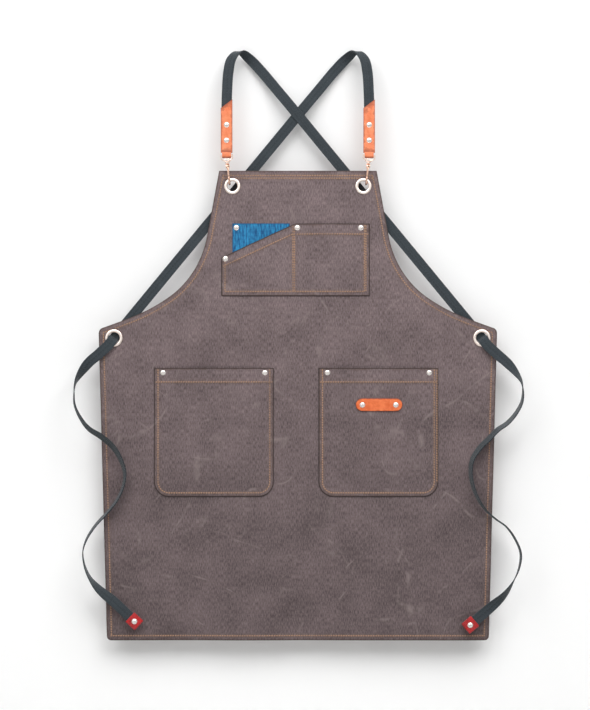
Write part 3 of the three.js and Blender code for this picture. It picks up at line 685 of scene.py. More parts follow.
roseGold = makeMetalLook("rose_gold", {
    "colour": paint(232, 188, 162), "rubbed": paint(240, 204, 184), "marks": 200.0, "gloss": (0.14, 0.26),
})
paleRoseGold = makeMetalLook("pale_rose_gold", {
    "colour": paint(240, 214, 198), "rubbed": paint(246, 228, 216), "marks": 200.0, "gloss": (0.22, 0.34),
})
eyeletMetal = makeMetalLook("bright_eyelet", {
    "colour": paint(246, 232, 222), "rubbed": paint(248, 236, 228), "marks": 150.0, "gloss": (0.28, 0.4),
    # rim: the painted shade at the ring's rounded edges
    "rim": paint(150, 96, 76), "rimReach": 0.45,
})
paleRivet = makeMetalLook("pale_rivet", {
    "colour": paint(230, 222, 216), "rubbed": paint(244, 240, 236), "marks": 500.0, "gloss": (0.16, 0.32),
})
springSteel = makeMetalLook("spring_steel", {
    "colour": paint(92, 88, 86), "rubbed": paint(128, 122, 118), "marks": 600.0, "gloss": (0.25, 0.42),
})
slateWebbing = makeWebbingLook(webbingLook)


threadLook = {"dark": paint(134, 100, 77), "light": paint(194, 151, 116), "rubbed": paint(122, 96, 80)}


def makeThreadLook(settings):
    material, tree = newMaterial("topstitch_thread")
    at = placeFrom(tree)
    ply, runs = noise(tree, at, 700.0, 3.0), noise(tree, at, 14.0, 3.0)
    colour = blendColour(tree, ply, settings["dark"], settings["light"])
    colour = blendColour(tree, spread(tree, runs, 0.44, 0.68, 0.0, 0.6), colour, settings["rubbed"])
    finished(tree, {"Base Color": colour, "Roughness": spread(tree, ply, 0.2, 0.8, 0.5, 0.7),
                    "Normal": bumped(tree, ply, 0.0001), "Sheen Weight": 0.2})
    return material


thread = makeThreadLook(threadLook)
print("materials ready")


# tails: free webbing that hangs from the waist eyelets, each with a riveted leather tip

strapRun = {"slope": 1.217, "insideGap": 0.3}  # the back straps go down this much for each step across
eyeletAt = {side: middleOf(side + "_waist_eyelet") for side in ("left", "right")}
waistX, waistZ = eyeletAt["right"].x, eyeletAt["right"].z
downhill = Vector((1, 0, -strapRun["slope"])).normalized()
diagonalWidth = Vector((strapRun["slope"], 0, 1)).normalized()
eyeletPoint = Vector((waistX, 0, waistZ))
meeting = eyeletPoint + downhill * 2.2
meeting.y = panelFace - 1.6
through = (downhill * 0.5)
through.y = -0.86
through.normalize()


def meetingPoint(along):
    return meeting + through * along


# each point: across and up from the eyelet, how far in front, and how many degrees the webbing turns
tailRoutes = {
    "left": [
        (-9, -12, -6.5, 0), (-26, -28, -9, 5), (-44, -44, -11, 20), (-60, -66, -12, 62), (-66.5, -80, -12, 88),
        (-68.5, -98, -12, 98), (-67, -117, -12, 103), (-57, -139, -12, 110), (-43, -157, -12, 118),
        (-20, -172, -12, 124), (0, -190, -13, 122), (13, -212, -13, 116), (19.5, -234, -13, 110),
        (16.5, -258, -13, 105), (6, -281, -13, 104), (-12, -304, -12, 103), (-31, -325, -12, 103),
        (-46, -348, -12, 100), (-53, -370, -12, 95), (-50, -395, -12, 90), (-41, -416, -12, 80),
        (-25, -436, -12, 50), (0, -457, -12, 12),
    ],
    "right": [
        (9, -12, -6.5, 0), (27, -29, -9, 5), (44, -44, -11, 20), (58, -60, -12, 50), (68, -76, -12, 76),
        (70.5, -92, -12, 90), (68.5, -111, -12, 98), (58, -131, -12, 104), (43, -148, -12, 108),
        (27, -159, -12, 111), (11, -175, -13, 113), (-5, -191, -13, 112), (-17, -210, -13, 108),
        (-20.5, -231, -13, 105), (-17, -255, -13, 104), (-8, -278, -13, 102), (6, -299, -12, 98),
        (23, -314, -12, 95), (42, -328, -12, 94), (58, -351, -12, 95), (66.5, -374, -12, 94),
        (64, -398, -12, 90), (54, -422, -12, 80), (38, -446, -12, 50), (15, -467, -12, 12),
    ],
}
tailEnds = {"left": (24, -479.5), "right": (-8, -486.5)}
tipHold = 25.0  # the end of a tail that its leather tip keeps straight


def tailLine(side):
    sign = -1 if side == "left" else 1
    centre = Vector((sign * waistX, 0, waistZ))
    listed = tailRoutes[side]
    placed = [Vector((centre.x + x, y, centre.z + up)) for x, up, y, _ in listed]
    straight = Vector((centre.x + tailEnds[side][0], placed[-1].y, centre.z + tailEnds[side][1]))
    heading = (straight - placed[-1]).normalized()
    start = [Vector((sign * p.x, p.y, p.z)) for p in (meetingPoint(0), meetingPoint(1.6))]
    points = start + placed + [straight, straight + heading * (tipHold / 2), straight + heading * tipHold]
    turns = [0, 0] + [route[3] for route in listed] + [0, 0, 0]
    widths = []
    for i, turn in enumerate(turns):
        share = i / (len(points) - 1)
        along = splinePoint(points, min(share + 1e-3, 1)) - splinePoint(points, max(share - 1e-3, 0))
        along.normalize()
        deep = (Vector((0, 1, 0)) - along * along.y).normalized()
        flat = along.cross(deep)
        widths.append(flat * math.cos(math.radians(turn)) + deep * math.sin(math.radians(turn)))
    return points, widths


def makeTails():
    for side in ("left", "right"):
        points, widths = tailLine(side)
        tail, line = ribbon(side + "_tail_webbing", points, widths, slateWebbing)
        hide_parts(side + "_strap_tail")
        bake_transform(tail)
        tip = softened(side + "_strap_tip", side + "_tip_leather", redLeather, 0.5, body=side + "_tail")
        markEdges(tip, lambda co: np.ones(len(co)))
        cap = makeRivet(side + "_tip_rivet", side + "_tail")


def makeShoulderStraps():
    tabLow, tabHigh = boxOf("left_leather_tab")
    tabX = (tabLow.x + tabHigh.x) / 2
    up = lambda height: bibTop + height
    loopTop = boxOf("left_shoulder_strap")[1].z
    behindPanel = panelInside + 2 * strapRun["insideGap"] + 1.2 + webbing["thick"] / 2
    crossing = waistX / downhill.x

    def back(along, y):
        point = eyeletPoint - downhill * along
        point.y = y
        return point
    for side, lap in (("left", -1.2), ("right", 1.2)):
        points = [
            Vector((tabX, 0, up(31.4))), Vector((tabX, 0, up(70))), Vector((tabX, 0, up(112))),
            Vector((tabX + 0.8, 0.6, up(140))), Vector((tabX + 3, 2.5, up(172))), Vector((-115.5, 7, up(196))),
            Vector((-102, 17, loopTop - webbing["thick"] / 2 + 0.2)), Vector((-86, 26, up(199))),
            back(crossing + 102, 27), back(crossing + 56, 21 + lap), back(crossing + 28, 16 + lap),
            back(crossing, 15 + lap), back(crossing - 28, 15 + lap), back(crossing * 0.853, 15),
            back(crossing * 0.685, 13), back(crossing * 0.496, 9), back(crossing * 0.298, 5.5),
            back(60, behindPanel), back(30, behindPanel), back(10, behindPanel + 0.5),
            meetingPoint(-6), meetingPoint(-2.7), meetingPoint(0),
        ]
        widths = [Vector((-1, 0, 0))] * 5
        widths += [Vector((-0.95, 0.3, 0)), Vector((-0.85, 0.53, 0)), Vector((-0.85, 0.3, -0.4))]
        widths += [-diagonalWidth] * (len(points) - len(widths))
        if side == "right":
            points = [Vector((-p.x, p.y, p.z)) for p in points]
            widths = [Vector((-w.x, w.y, w.z)) for w in widths]
        strap, _ = ribbon(side + "_shoulder_webbing", points, widths, slateWebbing, 360)
        settle(strap, side + "_shoulder_strap")
    print("straps made")


# outlines, drawn across and down in millimetres, anticlockwise as the wearer is faced

def straight(a, b, step=4.0):
    a, b = np.array(a, float), np.array(b, float)
    count = max(1, round(np.linalg.norm(b - a) / step))
    return [a + (b - a) * i / count for i in range(count)]


def sidesOf(corners, step=4.0):
    return [p for a, b in zip(corners, corners[1:] + corners[:1]) for p in straight(a, b, step)]


def bend(a, c, d, b, step=4.0):
    a, c, d, b = (np.array(p, float) for p in (a, c, d, b))
    count = max(3, round(np.linalg.norm(b - a) / step))
    shares = [i / count for i in range(count)]
    return [a * (1 - t) ** 3 + c * 3 * t * (1 - t) ** 2 + d * 3 * t * t * (1 - t) + b * t**3 for t in shares]


def rounding(a, c, b, step=1.6):
    a, c, b = (np.array(p, float) for p in (a, c, b))
    count = max(4, round(np.linalg.norm(b - a) / step))
    shares = [i / count for i in range(count)]
    return [a * (1 - t) ** 2 + c * 2 * t * (1 - t) + b * t * t for t in shares]


def outwardNormals(outline):
    ahead = np.roll(outline, -1, 0) - outline
    ahead /= np.linalg.norm(ahead, axis=1)[:, None]
    behind = np.roll(ahead, 1, 0)
    direction = ahead + behind
    direction /= np.linalg.norm(direction, axis=1)[:, None]
    turned = np.stack([direction[:, 1], -direction[:, 0]], 1)
    # pushed further at a corner, so that the sides move by the same amount
    flat = np.stack([ahead[:, 1], -ahead[:, 0]], 1)
    stretch = 1 / np.clip((turned * flat).sum(1), 0.5, 1)
    return turned * stretch[:, None]


def distanceTo(outline, points):
    # how far each point is from the outline
    a = outline
    b = np.roll(outline, -1, 0)
    best = np.full(len(points), 1e9)
    for start in range(0, len(points), 2000):
        p = points[start:start + 2000, None, :]
        ab = (b - a)[None]
        share = np.clip(((p - a[None]) * ab).sum(2) / (ab * ab).sum(2), 0, 1)
        gap = np.linalg.norm(p - (a[None] + ab * share[..., None]), axis=2)
        best[start:start + 2000] = gap.min(1)
    return best


def insideOf(outline, points):
    x, y = points[:, 0], points[:, 1]
    inside = np.zeros(len(points), bool)
    for (x0, y0), (x1, y1) in zip(outline, np.roll(outline, -1, 0)):
        crosses = (y0 > y) != (y1 > y)
        with np.errstate(divide="ignore", invalid="ignore"):
            inside ^= crosses & (x < (x1 - x0) * (y - y0) / (y1 - y0) + x0)
    return inside


def edgeGap(outline, x, z, edge=None):
    # the distance from the outline, unless it is known already
    return distanceTo(outline, np.stack([x, z], 1)) if edge is None else edge


def rimRound(edge, reach=0.9):
    # 1 at the outline, falling to 0 inside it
    return np.clip(1 - edge / reach, 0, 1) ** 2


def smoothstep(low, high, value):
    t = np.clip((value - low) / (high - low), 0, 1)
    return t * t * (3 - 2 * t)


panelShape = {
    "bibSide": (159.0, 119.0),  # half width and depth below the bib's top edge
    "armhole": (222.0, 218.0),
    "waistDepth": 272.5,
    "hemHalf": 332.5,
    "corner": 9.0,
    "hemWidth": 12.0,
    "sway": 1.5,
    "clothThick": 1.15,
    "bibToWaist": 209.5,  # how much wider each half is at the waist than at the bib's top
    "eyeletCuts": [("_bib_eyelet", 9.7), ("_waist_eyelet", 10.8)],
    "seam": 8.2,
    "topSeam": 13.0,
}
bibHalf = panelHigh.x - panelShape["bibToWaist"]


def panelOutline():
    waistHalf = panelHigh.x
    side, sideDepth = panelShape["bibSide"]
    arm, armDepth = panelShape["armhole"]
    waistDepth, hem, corner = panelShape["waistDepth"], panelShape["hemHalf"], panelShape["corner"]
    bottom = panelLow.z
    z = lambda depth: bibTop - depth
    below, above = (waistHalf, z(waistDepth + 2 + corner)), (waistHalf - corner, z(waistDepth))
    middle = (arm, z(armDepth))
    right = rounding((hem - corner, bottom), (hem, bottom), (hem, bottom + corner))
    right += straight((hem, bottom + corner), below)
    right += rounding(below, (waistHalf, z(waistDepth + 2)), above)
    right += bend(above, (waistHalf - 62, z(waistDepth - 19)), (arm + 38, z(armDepth + 27)), middle)
    right += bend(middle, (arm - 26, z(armDepth - 19)), (side + 11, z(sideDepth + 48)), (side, z(sideDepth)))
    right += straight((side, z(sideDepth)), (bibHalf, z(0)))
    left = [(-x, y) for x, y in reversed(right)]
    top = straight((bibHalf, z(0)), (-bibHalf, z(0)))
    base = straight((-hem + corner, bottom), (hem - corner, bottom))
    return np.array(right + top + [(-bibHalf, z(0))] + left + base[1:])


panelEdge = panelOutline()

hardware = []  # where the cloth lies flat: across, up, radius
for name in nodes:
    if name.endswith(("_eyelet", "_rivet")) or "_rivet_" in name and not name.endswith("_back"):
        if boxOf(name)[1].z < bibTop and "tip" not in name:
            hardware.append(roundOf(name))


def panelSway(x, z):
    # slow waves in the hanging cloth, gone at every eyelet and rivet
    depth = bibTop - z
    wave = 0.55 * np.sin(x * 0.021 + z * 0.0068 + 1.1) + 0.45 * np.sin(x * -0.0107 + z * 0.027 + 2.7)
    folds = np.sin(x * 0.034 + 0.9 * np.sin(z / 95) + 0.4) * smoothstep(520, 800, depth)
    cross = 0.5 * np.sin((x * 0.62 + z) * 0.031 + 0.7) * smoothstep(330, 480, depth)
    height = panelShape["sway"] * (wave * (0.25 + 0.75 * smoothstep(300, 420, depth)) + 0.8 * folds + cross)
    calm = np.ones_like(x)
    for hx, hz, radius in hardware:
        calm = np.minimum(calm, smoothstep(radius + 3, radius + 45, np.hypot(x - hx, z - hz)))
    return height * calm


def panelFront(x, z, edge=None):
    edge = edgeGap(panelEdge, x, z, edge)
    roll = 0.30 * np.exp(-((edge - 3.8) / 3.0) ** 2) - 0.22 * np.exp(-((edge - 8.2) / 1.5) ** 2)
    rounded = 0.35 * rimRound(edge)
    return panelFace + panelSway(x, z) - roll + rounded


def panelBack(x, z, edge=None):
    edge = edgeGap(panelEdge, x, z, edge)
    single, hem = panelFace + panelShape["clothThick"], panelShape["hemWidth"]
    doubled = (1 - smoothstep(hem - 0.3, hem + 0.3, edge)) * (panelInside - single)
    patch = np.zeros_like(x)
    for hx, hz, radius in hardware:
        reach = 1 - smoothstep(radius + 2, radius + 6, np.hypot(x - hx, z - hz))
        patch = np.maximum(patch, reach * (panelInside - single))
    rounded = 0.35 * rimRound(edge)
    return single + panelSway(x, z) + np.maximum(doubled, patch) - rounded


def circle(x, z, radius, count=40):
    turns = np.arange(count) * 2 * math.pi / count
    return np.stack([x + radius * np.cos(turns), z + radius * np.sin(turns)], 1)


def gapTo(points, others):
    best = np.full(len(points), 1e9)
    for start in range(0, len(points), 1000):
        gap = points[start:start + 1000, None, :] - others[None]
        best[start:start + 1000] = np.hypot(gap[..., 0], gap[..., 1]).min(1)
    return best


def seamPoints(row, closed, outline, rings):
    if closed:
        return np.zeros((0, 2))  # the rings already follow a seam that goes all the way round
    at, direction = walk(row, 4.0)
    side = np.stack([-direction[:, 1], direction[:, 0]], 1)
    found = np.concatenate([at + side * shift for shift in (-2.4, 0, 2.4)])
    found = found[insideOf(outline, found)]
    gap = distanceTo(outline, found)
    return found[(gap > 1.0) & (np.min([np.abs(gap - ring) for ring in rings], 0) > 0.8)]


def nearSeams(seams, flat):
    # 1 on a row of stitches, 0 from 4 mm away
    lines = np.concatenate([walk(row, 1.5, closed)[0] for row, closed in seams])
    return np.clip(1 - gapTo(flat, lines) / 4.0, 0, 1)


panelRings = (1.2, 3.6, 6.6, 8.2, 9.8, 11.7, 12.3)  # how far inside the rim the net follows it


def clothPiece(name, outline, front, back, look, holes=(), seams=(), rings=panelRings, grid=6.5, skin=0.35):
    # a sheet with both faces, a rounded rim and punched holes; front and back give the faces' depth
    normals = outwardNormals(outline)
    rim = outline - normals * skin
    points = [rim]
    for ring in rings:
        inner = outline - normals * ring
        gap = distanceTo(outline, inner)
        points.append(inner[(gap > ring * 0.93) & insideOf(outline, inner)])
    low, high = outline.min(0), outline.max(0)
    across, up = np.meshgrid(np.arange(low[0], high[0], grid), np.arange(low[1], high[1], grid))
    # every second row is shifted by half a step, so that the triangles are even
    across = across + (np.arange(across.shape[0]) % 2)[:, None] * grid / 2
    net = np.stack([across.ravel(), up.ravel()], 1)
    net = net[insideOf(outline, net)]
    net = net[distanceTo(outline, net) > (rings[-1] if rings else 0) + grid * 0.45]
    # points on and beside each seam
    beside = [b for b in (seamPoints(row, closed, outline, rings) for row, closed in seams) if len(b)]
    if beside:
        beside = np.concatenate(beside)
        net = net[gapTo(net, beside) > 1.9]
        points.append(beside)
    loops = [circle(x, z, radius) for x, z, radius in holes]
    collars = [circle(x, z, radius + 1.6) for x, z, radius in holes]
    for x, z, radius in holes:
        net = net[np.hypot(net[:, 0] - x, net[:, 1] - z) > radius + 3]
        points = [points[0]] + [p[np.hypot(p[:, 0] - x, p[:, 1] - z) > radius + 2.4] for p in points[1:]]
    fixed = np.concatenate([points[0]] + loops)
    loose = np.concatenate(points[1:] + [net] + collars)
    everything = np.concatenate([fixed, loose])
    edges, start = [], 0
    for loop in [points[0]] + loops:
        edges += [(start + i, start + (i + 1) % len(loop)) for i in range(len(loop))]
        start += len(loop)
    whole = [list(range(len(points[0])))]
    flat, _, triangles, *_ = delaunay_2d_cdt([Vector(p) for p in everything], edges, whole, 1, 1e-5)
    flat = np.array([(p.x, p.y) for p in flat])
    triangles = np.array([t for t in triangles if len(t) == 3])
    centres = flat[triangles].mean(1)
    keep = np.ones(len(triangles), bool)
    for x, z, radius in holes:
        keep &= np.hypot(centres[:, 0] - x, centres[:, 1] - z) > radius * 0.99
    triangles = triangles[keep]
    used = np.unique(triangles)
    renumber = np.full(len(flat), -1)
    renumber[used] = np.arange(len(used))
    flat, triangles = flat[used], renumber[triangles]
    a, b, c = flat[triangles[:, 0]], flat[triangles[:, 1]], flat[triangles[:, 2]]
    turned = ((b - a)[:, 0] * (c - a)[:, 1] - (b - a)[:, 1] * (c - a)[:, 0]) < 0
    triangles[turned] = triangles[turned][:, ::-1]
    edge = distanceTo(outline, flat)
    x, z = flat[:, 0], flat[:, 1]
    count = len(flat)
    frontFace = np.stack([x, front(x, z, edge), z], 1)
    backFace = np.stack([x, back(x, z, edge), z], 1)
    # the rim: each border edge gets a strip over a middle line at the true outline
    sides = {}
    for t in triangles:
        for i, j in ((t[0], t[1]), (t[1], t[2]), (t[2], t[0])):
            sides[(i, j)] = (j, i) not in sides
            if (j, i) in sides:
                sides[(j, i)] = False
    border = [pair for pair, alone in sides.items() if alone]
    vertices = list(frontFace) + list(backFace)
    middles = {}
    nearRim = {}
    for i, _ in border:
        gaps = np.hypot(*(rim - flat[i]).T)
        nearest = int(gaps.argmin())
        push = normals[nearest] * skin if gaps[nearest] < 0.5 else np.zeros(2)
        nearRim[i] = push
        middles[i] = len(vertices)
        depth = (frontFace[i][1] + backFace[i][1]) / 2
        vertices.append(np.array([x[i] + push[0], depth, z[i] + push[1]]))
    faces = [tuple(t) for t in triangles] + [tuple(count + v for v in t[::-1]) for t in triangles]
    for i, j in border:
        if i in middles and j in middles:
            faces.append((i, middles[i], middles[j], j))
            faces.append((middles[i], count + i, count + j, middles[j]))
    mesh = bpy.data.meshes.new(name)
    mesh.from_pydata([Vector(v) * mm for v in vertices], [], [tuple(int(k) for k in f) for f in faces])
    piece = linkMesh(name, mesh, look)
    faceOutwards(piece)
    share = np.zeros(len(vertices), np.float32)
    share[:count] = share[count:2 * count] = np.clip(edge / 15.0, 0, 1)
    storeValues(mesh, "edge", share)
    if seams:
        close = np.zeros(len(vertices), np.float32)
        close[:count] = close[count:2 * count] = nearSeams(seams, flat)
        storeValues(mesh, "seam", close)
    return piece


# stitches, each a short raised run of thread

stitch = {"pitch": 4.3, "length": 3.3, "width": 2.0, "height": 0.55, "tilt": 12.0}


def walk(line, step, closed=False):
    # even steps along a line, with the direction at each
    line = np.array(line, float)
    if closed:
        line = np.concatenate([line, line[:1]])
    pieces = np.linalg.norm(np.diff(line, axis=0), axis=1)
    length = np.concatenate([[0], np.cumsum(pieces)])
    count = max(1, int(length[-1] / step))
    at = (np.arange(count) + 0.5) * length[-1] / count
    x = np.interp(at, length, line[:, 0])
    z = np.interp(at, length, line[:, 1])
    ahead = np.stack([np.interp(np.minimum(at + 1, length[-1]), length, line[:, k]) for k in (0, 1)], 1)
    behind = np.stack([np.interp(np.maximum(at - 1, 0), length, line[:, k]) for k in (0, 1)], 1)
    direction = ahead - behind
    direction /= np.linalg.norm(direction, axis=1)[:, None]
    return np.stack([x, z], 1), direction


def stitchRows(name, rows, depth, towards=-1):
    # rows: lists of points on the face; depth gives the cloth's face under each stitch
    places, directions = [], []
    for row, closed in rows:
        at, direction = walk(row, stitch["pitch"], closed)
        places.append(at)
        directions.append(direction)
    at, direction = np.concatenate(places), np.concatenate(directions)
    clear = np.ones(len(at), bool)
    for hx, hz, radius in hardware:
        clear &= np.hypot(at[:, 0] - hx, at[:, 1] - hz) > radius + 0.4
    at, direction = at[clear], direction[clear]
    y = depth(at[:, 0], at[:, 1])
    tilt = math.radians(stitch["tilt"])
    c, s = math.cos(tilt), math.sin(tilt)
    dx, dz = direction[:, 0], direction[:, 1]
    direction = np.stack([dx * c - dz * s, dx * s + dz * c], 1)
    side = np.stack([-direction[:, 1], direction[:, 0]], 1)
    # one stitch: stations along it, with width and height shares
    half = [(0.15, 1.0, 1.0), (0.40, 0.85, 0.55), (0.5, 0.15, -0.5)]
    stations = [(-along, wide, high) for along, wide, high in reversed(half)] + half
    arc = [(-0.5, -0.45), (-0.36, 0.62), (0.0, 1.0), (0.36, 0.62), (0.5, -0.45)]
    vertices, faces = [], []
    for p, d, n, level in zip(at, direction, side, y):
        base = len(vertices)
        for along, wide, high in stations:
            for u, v in arc:
                x = p[0] + d[0] * along * stitch["length"] + n[0] * u * wide * stitch["width"]
                z = p[1] + d[1] * along * stitch["length"] + n[1] * u * wide * stitch["width"]
                lift = stitch["height"] * (v * 0.5 + high * 0.5)
                vertices.append((x * mm, (level + towards * lift) * mm, z * mm))
        around, last = len(arc), len(stations) - 1
        for i in range(last):
            for k in range(around):
                a, b = base + i * around + k, base + i * around + (k + 1) % around
                faces.append((a, b, b + around, a + around))
        faces.append(tuple(base + k for k in range(around))[::-1])
        faces.append(tuple(base + last * around + k for k in range(around)))
    mesh = bpy.data.meshes.new(name)
    mesh.from_pydata(vertices, [], faces)
    piece = linkMesh(name, mesh, thread)
    faceOutwards(piece)
    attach(piece, "apron")
    return piece


def insetLine(outline, inset):
    line = outline - outwardNormals(outline) * inset
    gap = distanceTo(outline, line)
    return line[gap > inset * 0.93]


def shapeArea(outline):
    x, z = outline[:, 0], outline[:, 1]
    return abs((x * np.roll(z, -1) - np.roll(x, -1) * z).sum()) / 2


def makePanel():
    holes = [roundOf(side + kind)[:2] + (radius,) for side in ("left", "right")
             for kind, radius in panelShape["eyeletCuts"]]
    # one row round the whole panel, and a deeper one under the bib's top hem
    across, up = bibHalf - 6, bibTop - panelShape["topSeam"]
    rows = [(insetLine(panelEdge, panelShape["seam"]), True), ([(-across, up), (across, up)], False)]
    piece = clothPiece("canvas_panel", panelEdge, panelFront, panelBack, canvas, holes, rows)
    settle(piece, "apron_panel")
    seams = [stitchRows("panel_stitches", rows, panelFront),
             stitchRows("panel_inside_stitches", rows, panelBack, towards=1)]
    area = shapeArea(panelEdge) * mm * mm
    print("panel made")


# pockets and lining

seatGap = 0.3  # between the panel and the cloth sewn to it

pocketLook = {"cloth": 1.3, "pouch": 6.0, "sew": 6.8, "hem": 24.4, "radius": 26.0, "lip": 0.7}


def pocketOutline(low, high, radius):
    x0, x1, z0, z1 = low.x, high.x, low.z, high.z
    line = straight((x0 + radius, z0), (x1 - radius, z0))
    turn = [i / 14 * math.pi / 2 for i in range(14)]
    line += [np.array((x1 - radius + radius * math.sin(a), z0 + radius - radius * math.cos(a))) for a in turn]
    line += straight((x1, z0 + radius), (x1, z1)) + straight((x1, z1), (x0, z1))
    line += straight((x0, z1), (x0, z0 + radius))
    line += [np.array((x0 + radius - radius * math.cos(a), z0 + radius - radius * math.sin(a))) for a in turn]
    return np.array(line)


def makeSkirtPocket(side):
    low, high = boxOf(side + "_pocket")
    outline = pocketOutline(low, high, pocketLook["radius"])
    seat = panelFace - seatGap

    def pouch(x, z):
        inward = np.minimum(x - low.x, high.x - x)
        wide = smoothstep(20.5, 56, inward)
        tall = smoothstep(7, 62, z - low.z)
        return pocketLook["pouch"] * wide * tall

    def under(x, z, edge=None):
        return seat + panelSway(x, z) - pouch(x, z)

    def front(x, z, edge=None):
        edge = edgeGap(outline, x, z, edge)
        fromTop = high.z - z
        hem = 0.35 * (1 - smoothstep(pocketLook["hem"], pocketLook["hem"] + 1.4, fromTop))
        rowGap = np.abs(edge - pocketLook["sew"])
        groove = 0.25 * np.exp(-(rowGap / 1.3) ** 2) * (fromTop > 5)
        swell = 0.25 * np.exp(-((edge - 3.2) / 2.4) ** 2)
        rounded = 0.4 * rimRound(edge)
        return under(x, z) - pocketLook["cloth"] - hem + groove - swell + rounded * 0.6

    sew, top, radius = pocketLook["sew"], high.z, pocketLook["radius"]
    inner = pocketOutline(low + Vector((sew, 0, sew)), high - Vector((sew, 0, 0)), radius - sew)
    path = [p for p in inner if p[1] < top - 0.5]
    turnAt = next(i for i in range(len(path)) if path[i][0] < path[i - 1][0] - 60)
    path = path[turnAt:] + path[:turnAt]
    rows = [([(low.x + sew, top - 2)] + path + [(high.x - sew, top - 2)], False)]
    rows.append(([(low.x + 2, top - pocketLook["hem"]), (high.x - 2, top - pocketLook["hem"])], False))
    if side == "right":
        rows.append(([(high.x - 2.2, top - 3), (high.x - 2.2, low.z + radius)], False))
    rings = (1.2, 3.2, 5.4, 6.8, 8.4, 11)
    piece = clothPiece(side + "_pocket_cloth", outline, front, under, pocketCanvas, (), rows, rings, 5.0)
    settle(piece, side + "_pocket")
    seams = stitchRows(side + "_pocket_stitches", rows, front)


chestLook = {"slantDepth": 151.0, "divide": -5.0, "hem": 18.3, "slantHem": 15.0, "cloth": 1.3, "pouch": 4.6}


def makeChestPocket():
    low, high = boxOf("chest_pocket")
    slantLow = bibTop - chestLook["slantDepth"]
    divide, hem, slantHem = chestLook["divide"], chestLook["hem"], chestLook["slantHem"]
    left, right, top, bottom = low.x, high.x, high.z, low.z
    corners = [(left, bottom), (right, bottom), (right, top), (divide, top), (left, slantLow)]
    outline = np.array(sidesOf(corners))
    seat = panelFace - seatGap
    slope = (top - slantLow) / (divide - left)

    def pouch(x, z):
        first = smoothstep(left + 14, left + 50, x) * (1 - smoothstep(divide - 36, divide - 6, x))
        second = smoothstep(divide + 11, divide + 40, x) * (1 - smoothstep(right - 54, right - 22, x))
        return chestLook["pouch"] * (first * 0.9 + second) * smoothstep(7, 48, z - bottom)

    def under(x, z, edge=None):
        return seat + panelSway(x, z) - pouch(x, z)

    def front(x, z, edge=None):
        edge = edgeGap(outline, x, z, edge)
        fromSlant = (slantLow + slope * (x - left) - z) / math.hypot(1, slope)
        onSlant = (x < divide) * (1 - smoothstep(slantHem, slantHem + 1.4, fromSlant))
        onTop = (x >= divide) * (1 - smoothstep(hem, hem + 1.4, top - z))
        groove = 0.25 * np.exp(-((edge - 6.6) / 1.3) ** 2) * (z < slantLow)
        middle = 0.3 * np.exp(-((x - divide + 1.5) / 2.4) ** 2)
        rounded = 0.4 * rimRound(edge)
        return under(x, z) - chestLook["cloth"] - 0.3 * (onSlant + onTop) + groove + middle + rounded

    shift = slantHem * math.hypot(1, slope)
    sideX, baseZ = 9.3, bottom + 8.0
    rows = [
        ([(left + 6.2, slantLow - 2), (left + 6.2, baseZ), (right - sideX, baseZ),
          (right - sideX, top - 2)], False),
        ([(right - sideX + 2.6, top - 2), (right - sideX + 2.6, baseZ)], False),
        ([(left + 2, slantLow - shift + slope * 2), (divide - 4, top - shift - slope * 4)], False),
        ([(divide + 2, top - hem), (right - 2, top - hem)], False),
        ([(divide - 3.6, top - 3), (divide - 3.6, baseZ)], False),
        ([(divide - 0.8, top - 3), (divide - 0.8, baseZ)], False),
    ]
    rings = (1.2, 3.4, 5.2, 6.8, 8.6)
    piece = clothPiece("chest_pocket_cloth", outline, front, under, pocketCanvas, (), rows, rings, 4.4)
    settle(piece, "chest_pocket")
    seams = stitchRows("chest_pocket_stitches", rows, front)
    shapeArea(outline) * mm * mm * 1.1


def makeLining():
    low, high = boxOf("pocket_lining")
    outline = np.array(sidesOf([(low.x, low.z), (high.x, low.z), (high.x, high.z), (low.x, high.z)]))

    def under(x, z, edge=None):
        return panelFace - 0.25 + panelSway(x, z)

    def front(x, z, edge=None):
        edge = edgeGap(outline, x, z, edge)
        rounded = 0.3 * rimRound(edge)
        # a soft ripple where the loose cloth stands in the mouth
        ripple = 0.25 * np.sin(x * 0.17 + z * 0.09) * smoothstep(6, 18, edge)
        return under(x, z) - 0.95 - ripple + rounded
    piece = clothPiece("blue_lining", outline, front, under, blueCloth, rings=(1.2, 3.0, 5.0), grid=4.0)
    settle(piece, "pocket_lining")


# turned metal: eyelets, washers and rivets

def turnedPiece(name, profile, x, z, look, segments=56):
    # profile: radius and depth, from the front of the axis round to its start
    vertices, faces = [], []
    count = len(profile)
    for s in range(segments):
        angle = 2 * math.pi * s / segments
        c, d = math.cos(angle), math.sin(angle)
        vertices += [((x + radius * c) * mm, y * mm, (z + radius * d) * mm) for radius, y in profile]
    for s in range(segments):
        n = (s + 1) % segments
        for k in range(count - 1):
            faces.append((s * count + k, n * count + k, n * count + k + 1, s * count + k + 1))
    mesh = bpy.data.meshes.new(name)
    mesh.from_pydata(vertices, [], faces)
    work = bmesh.new()
    work.from_mesh(mesh)
    bmesh.ops.remove_doubles(work, verts=work.verts, dist=1e-6)
    bmesh.ops.dissolve_degenerate(work, edges=work.edges, dist=1e-7)
    work.to_mesh(mesh)
    work.free()
    piece = linkMesh(name, mesh, look)
    faceOutwards(piece)
    sharpen(piece, 38)
    return piece


def sharpen(piece, degrees):
    piece.data.shade_smooth()
    piece.data.set_sharp_from_angle(angle=math.radians(degrees))


eyeletLook = {"wall": 0.8, "holes": {"_bib_eyelet": 8.75, "_waist_eyelet": 9.9}, "segments": 72}


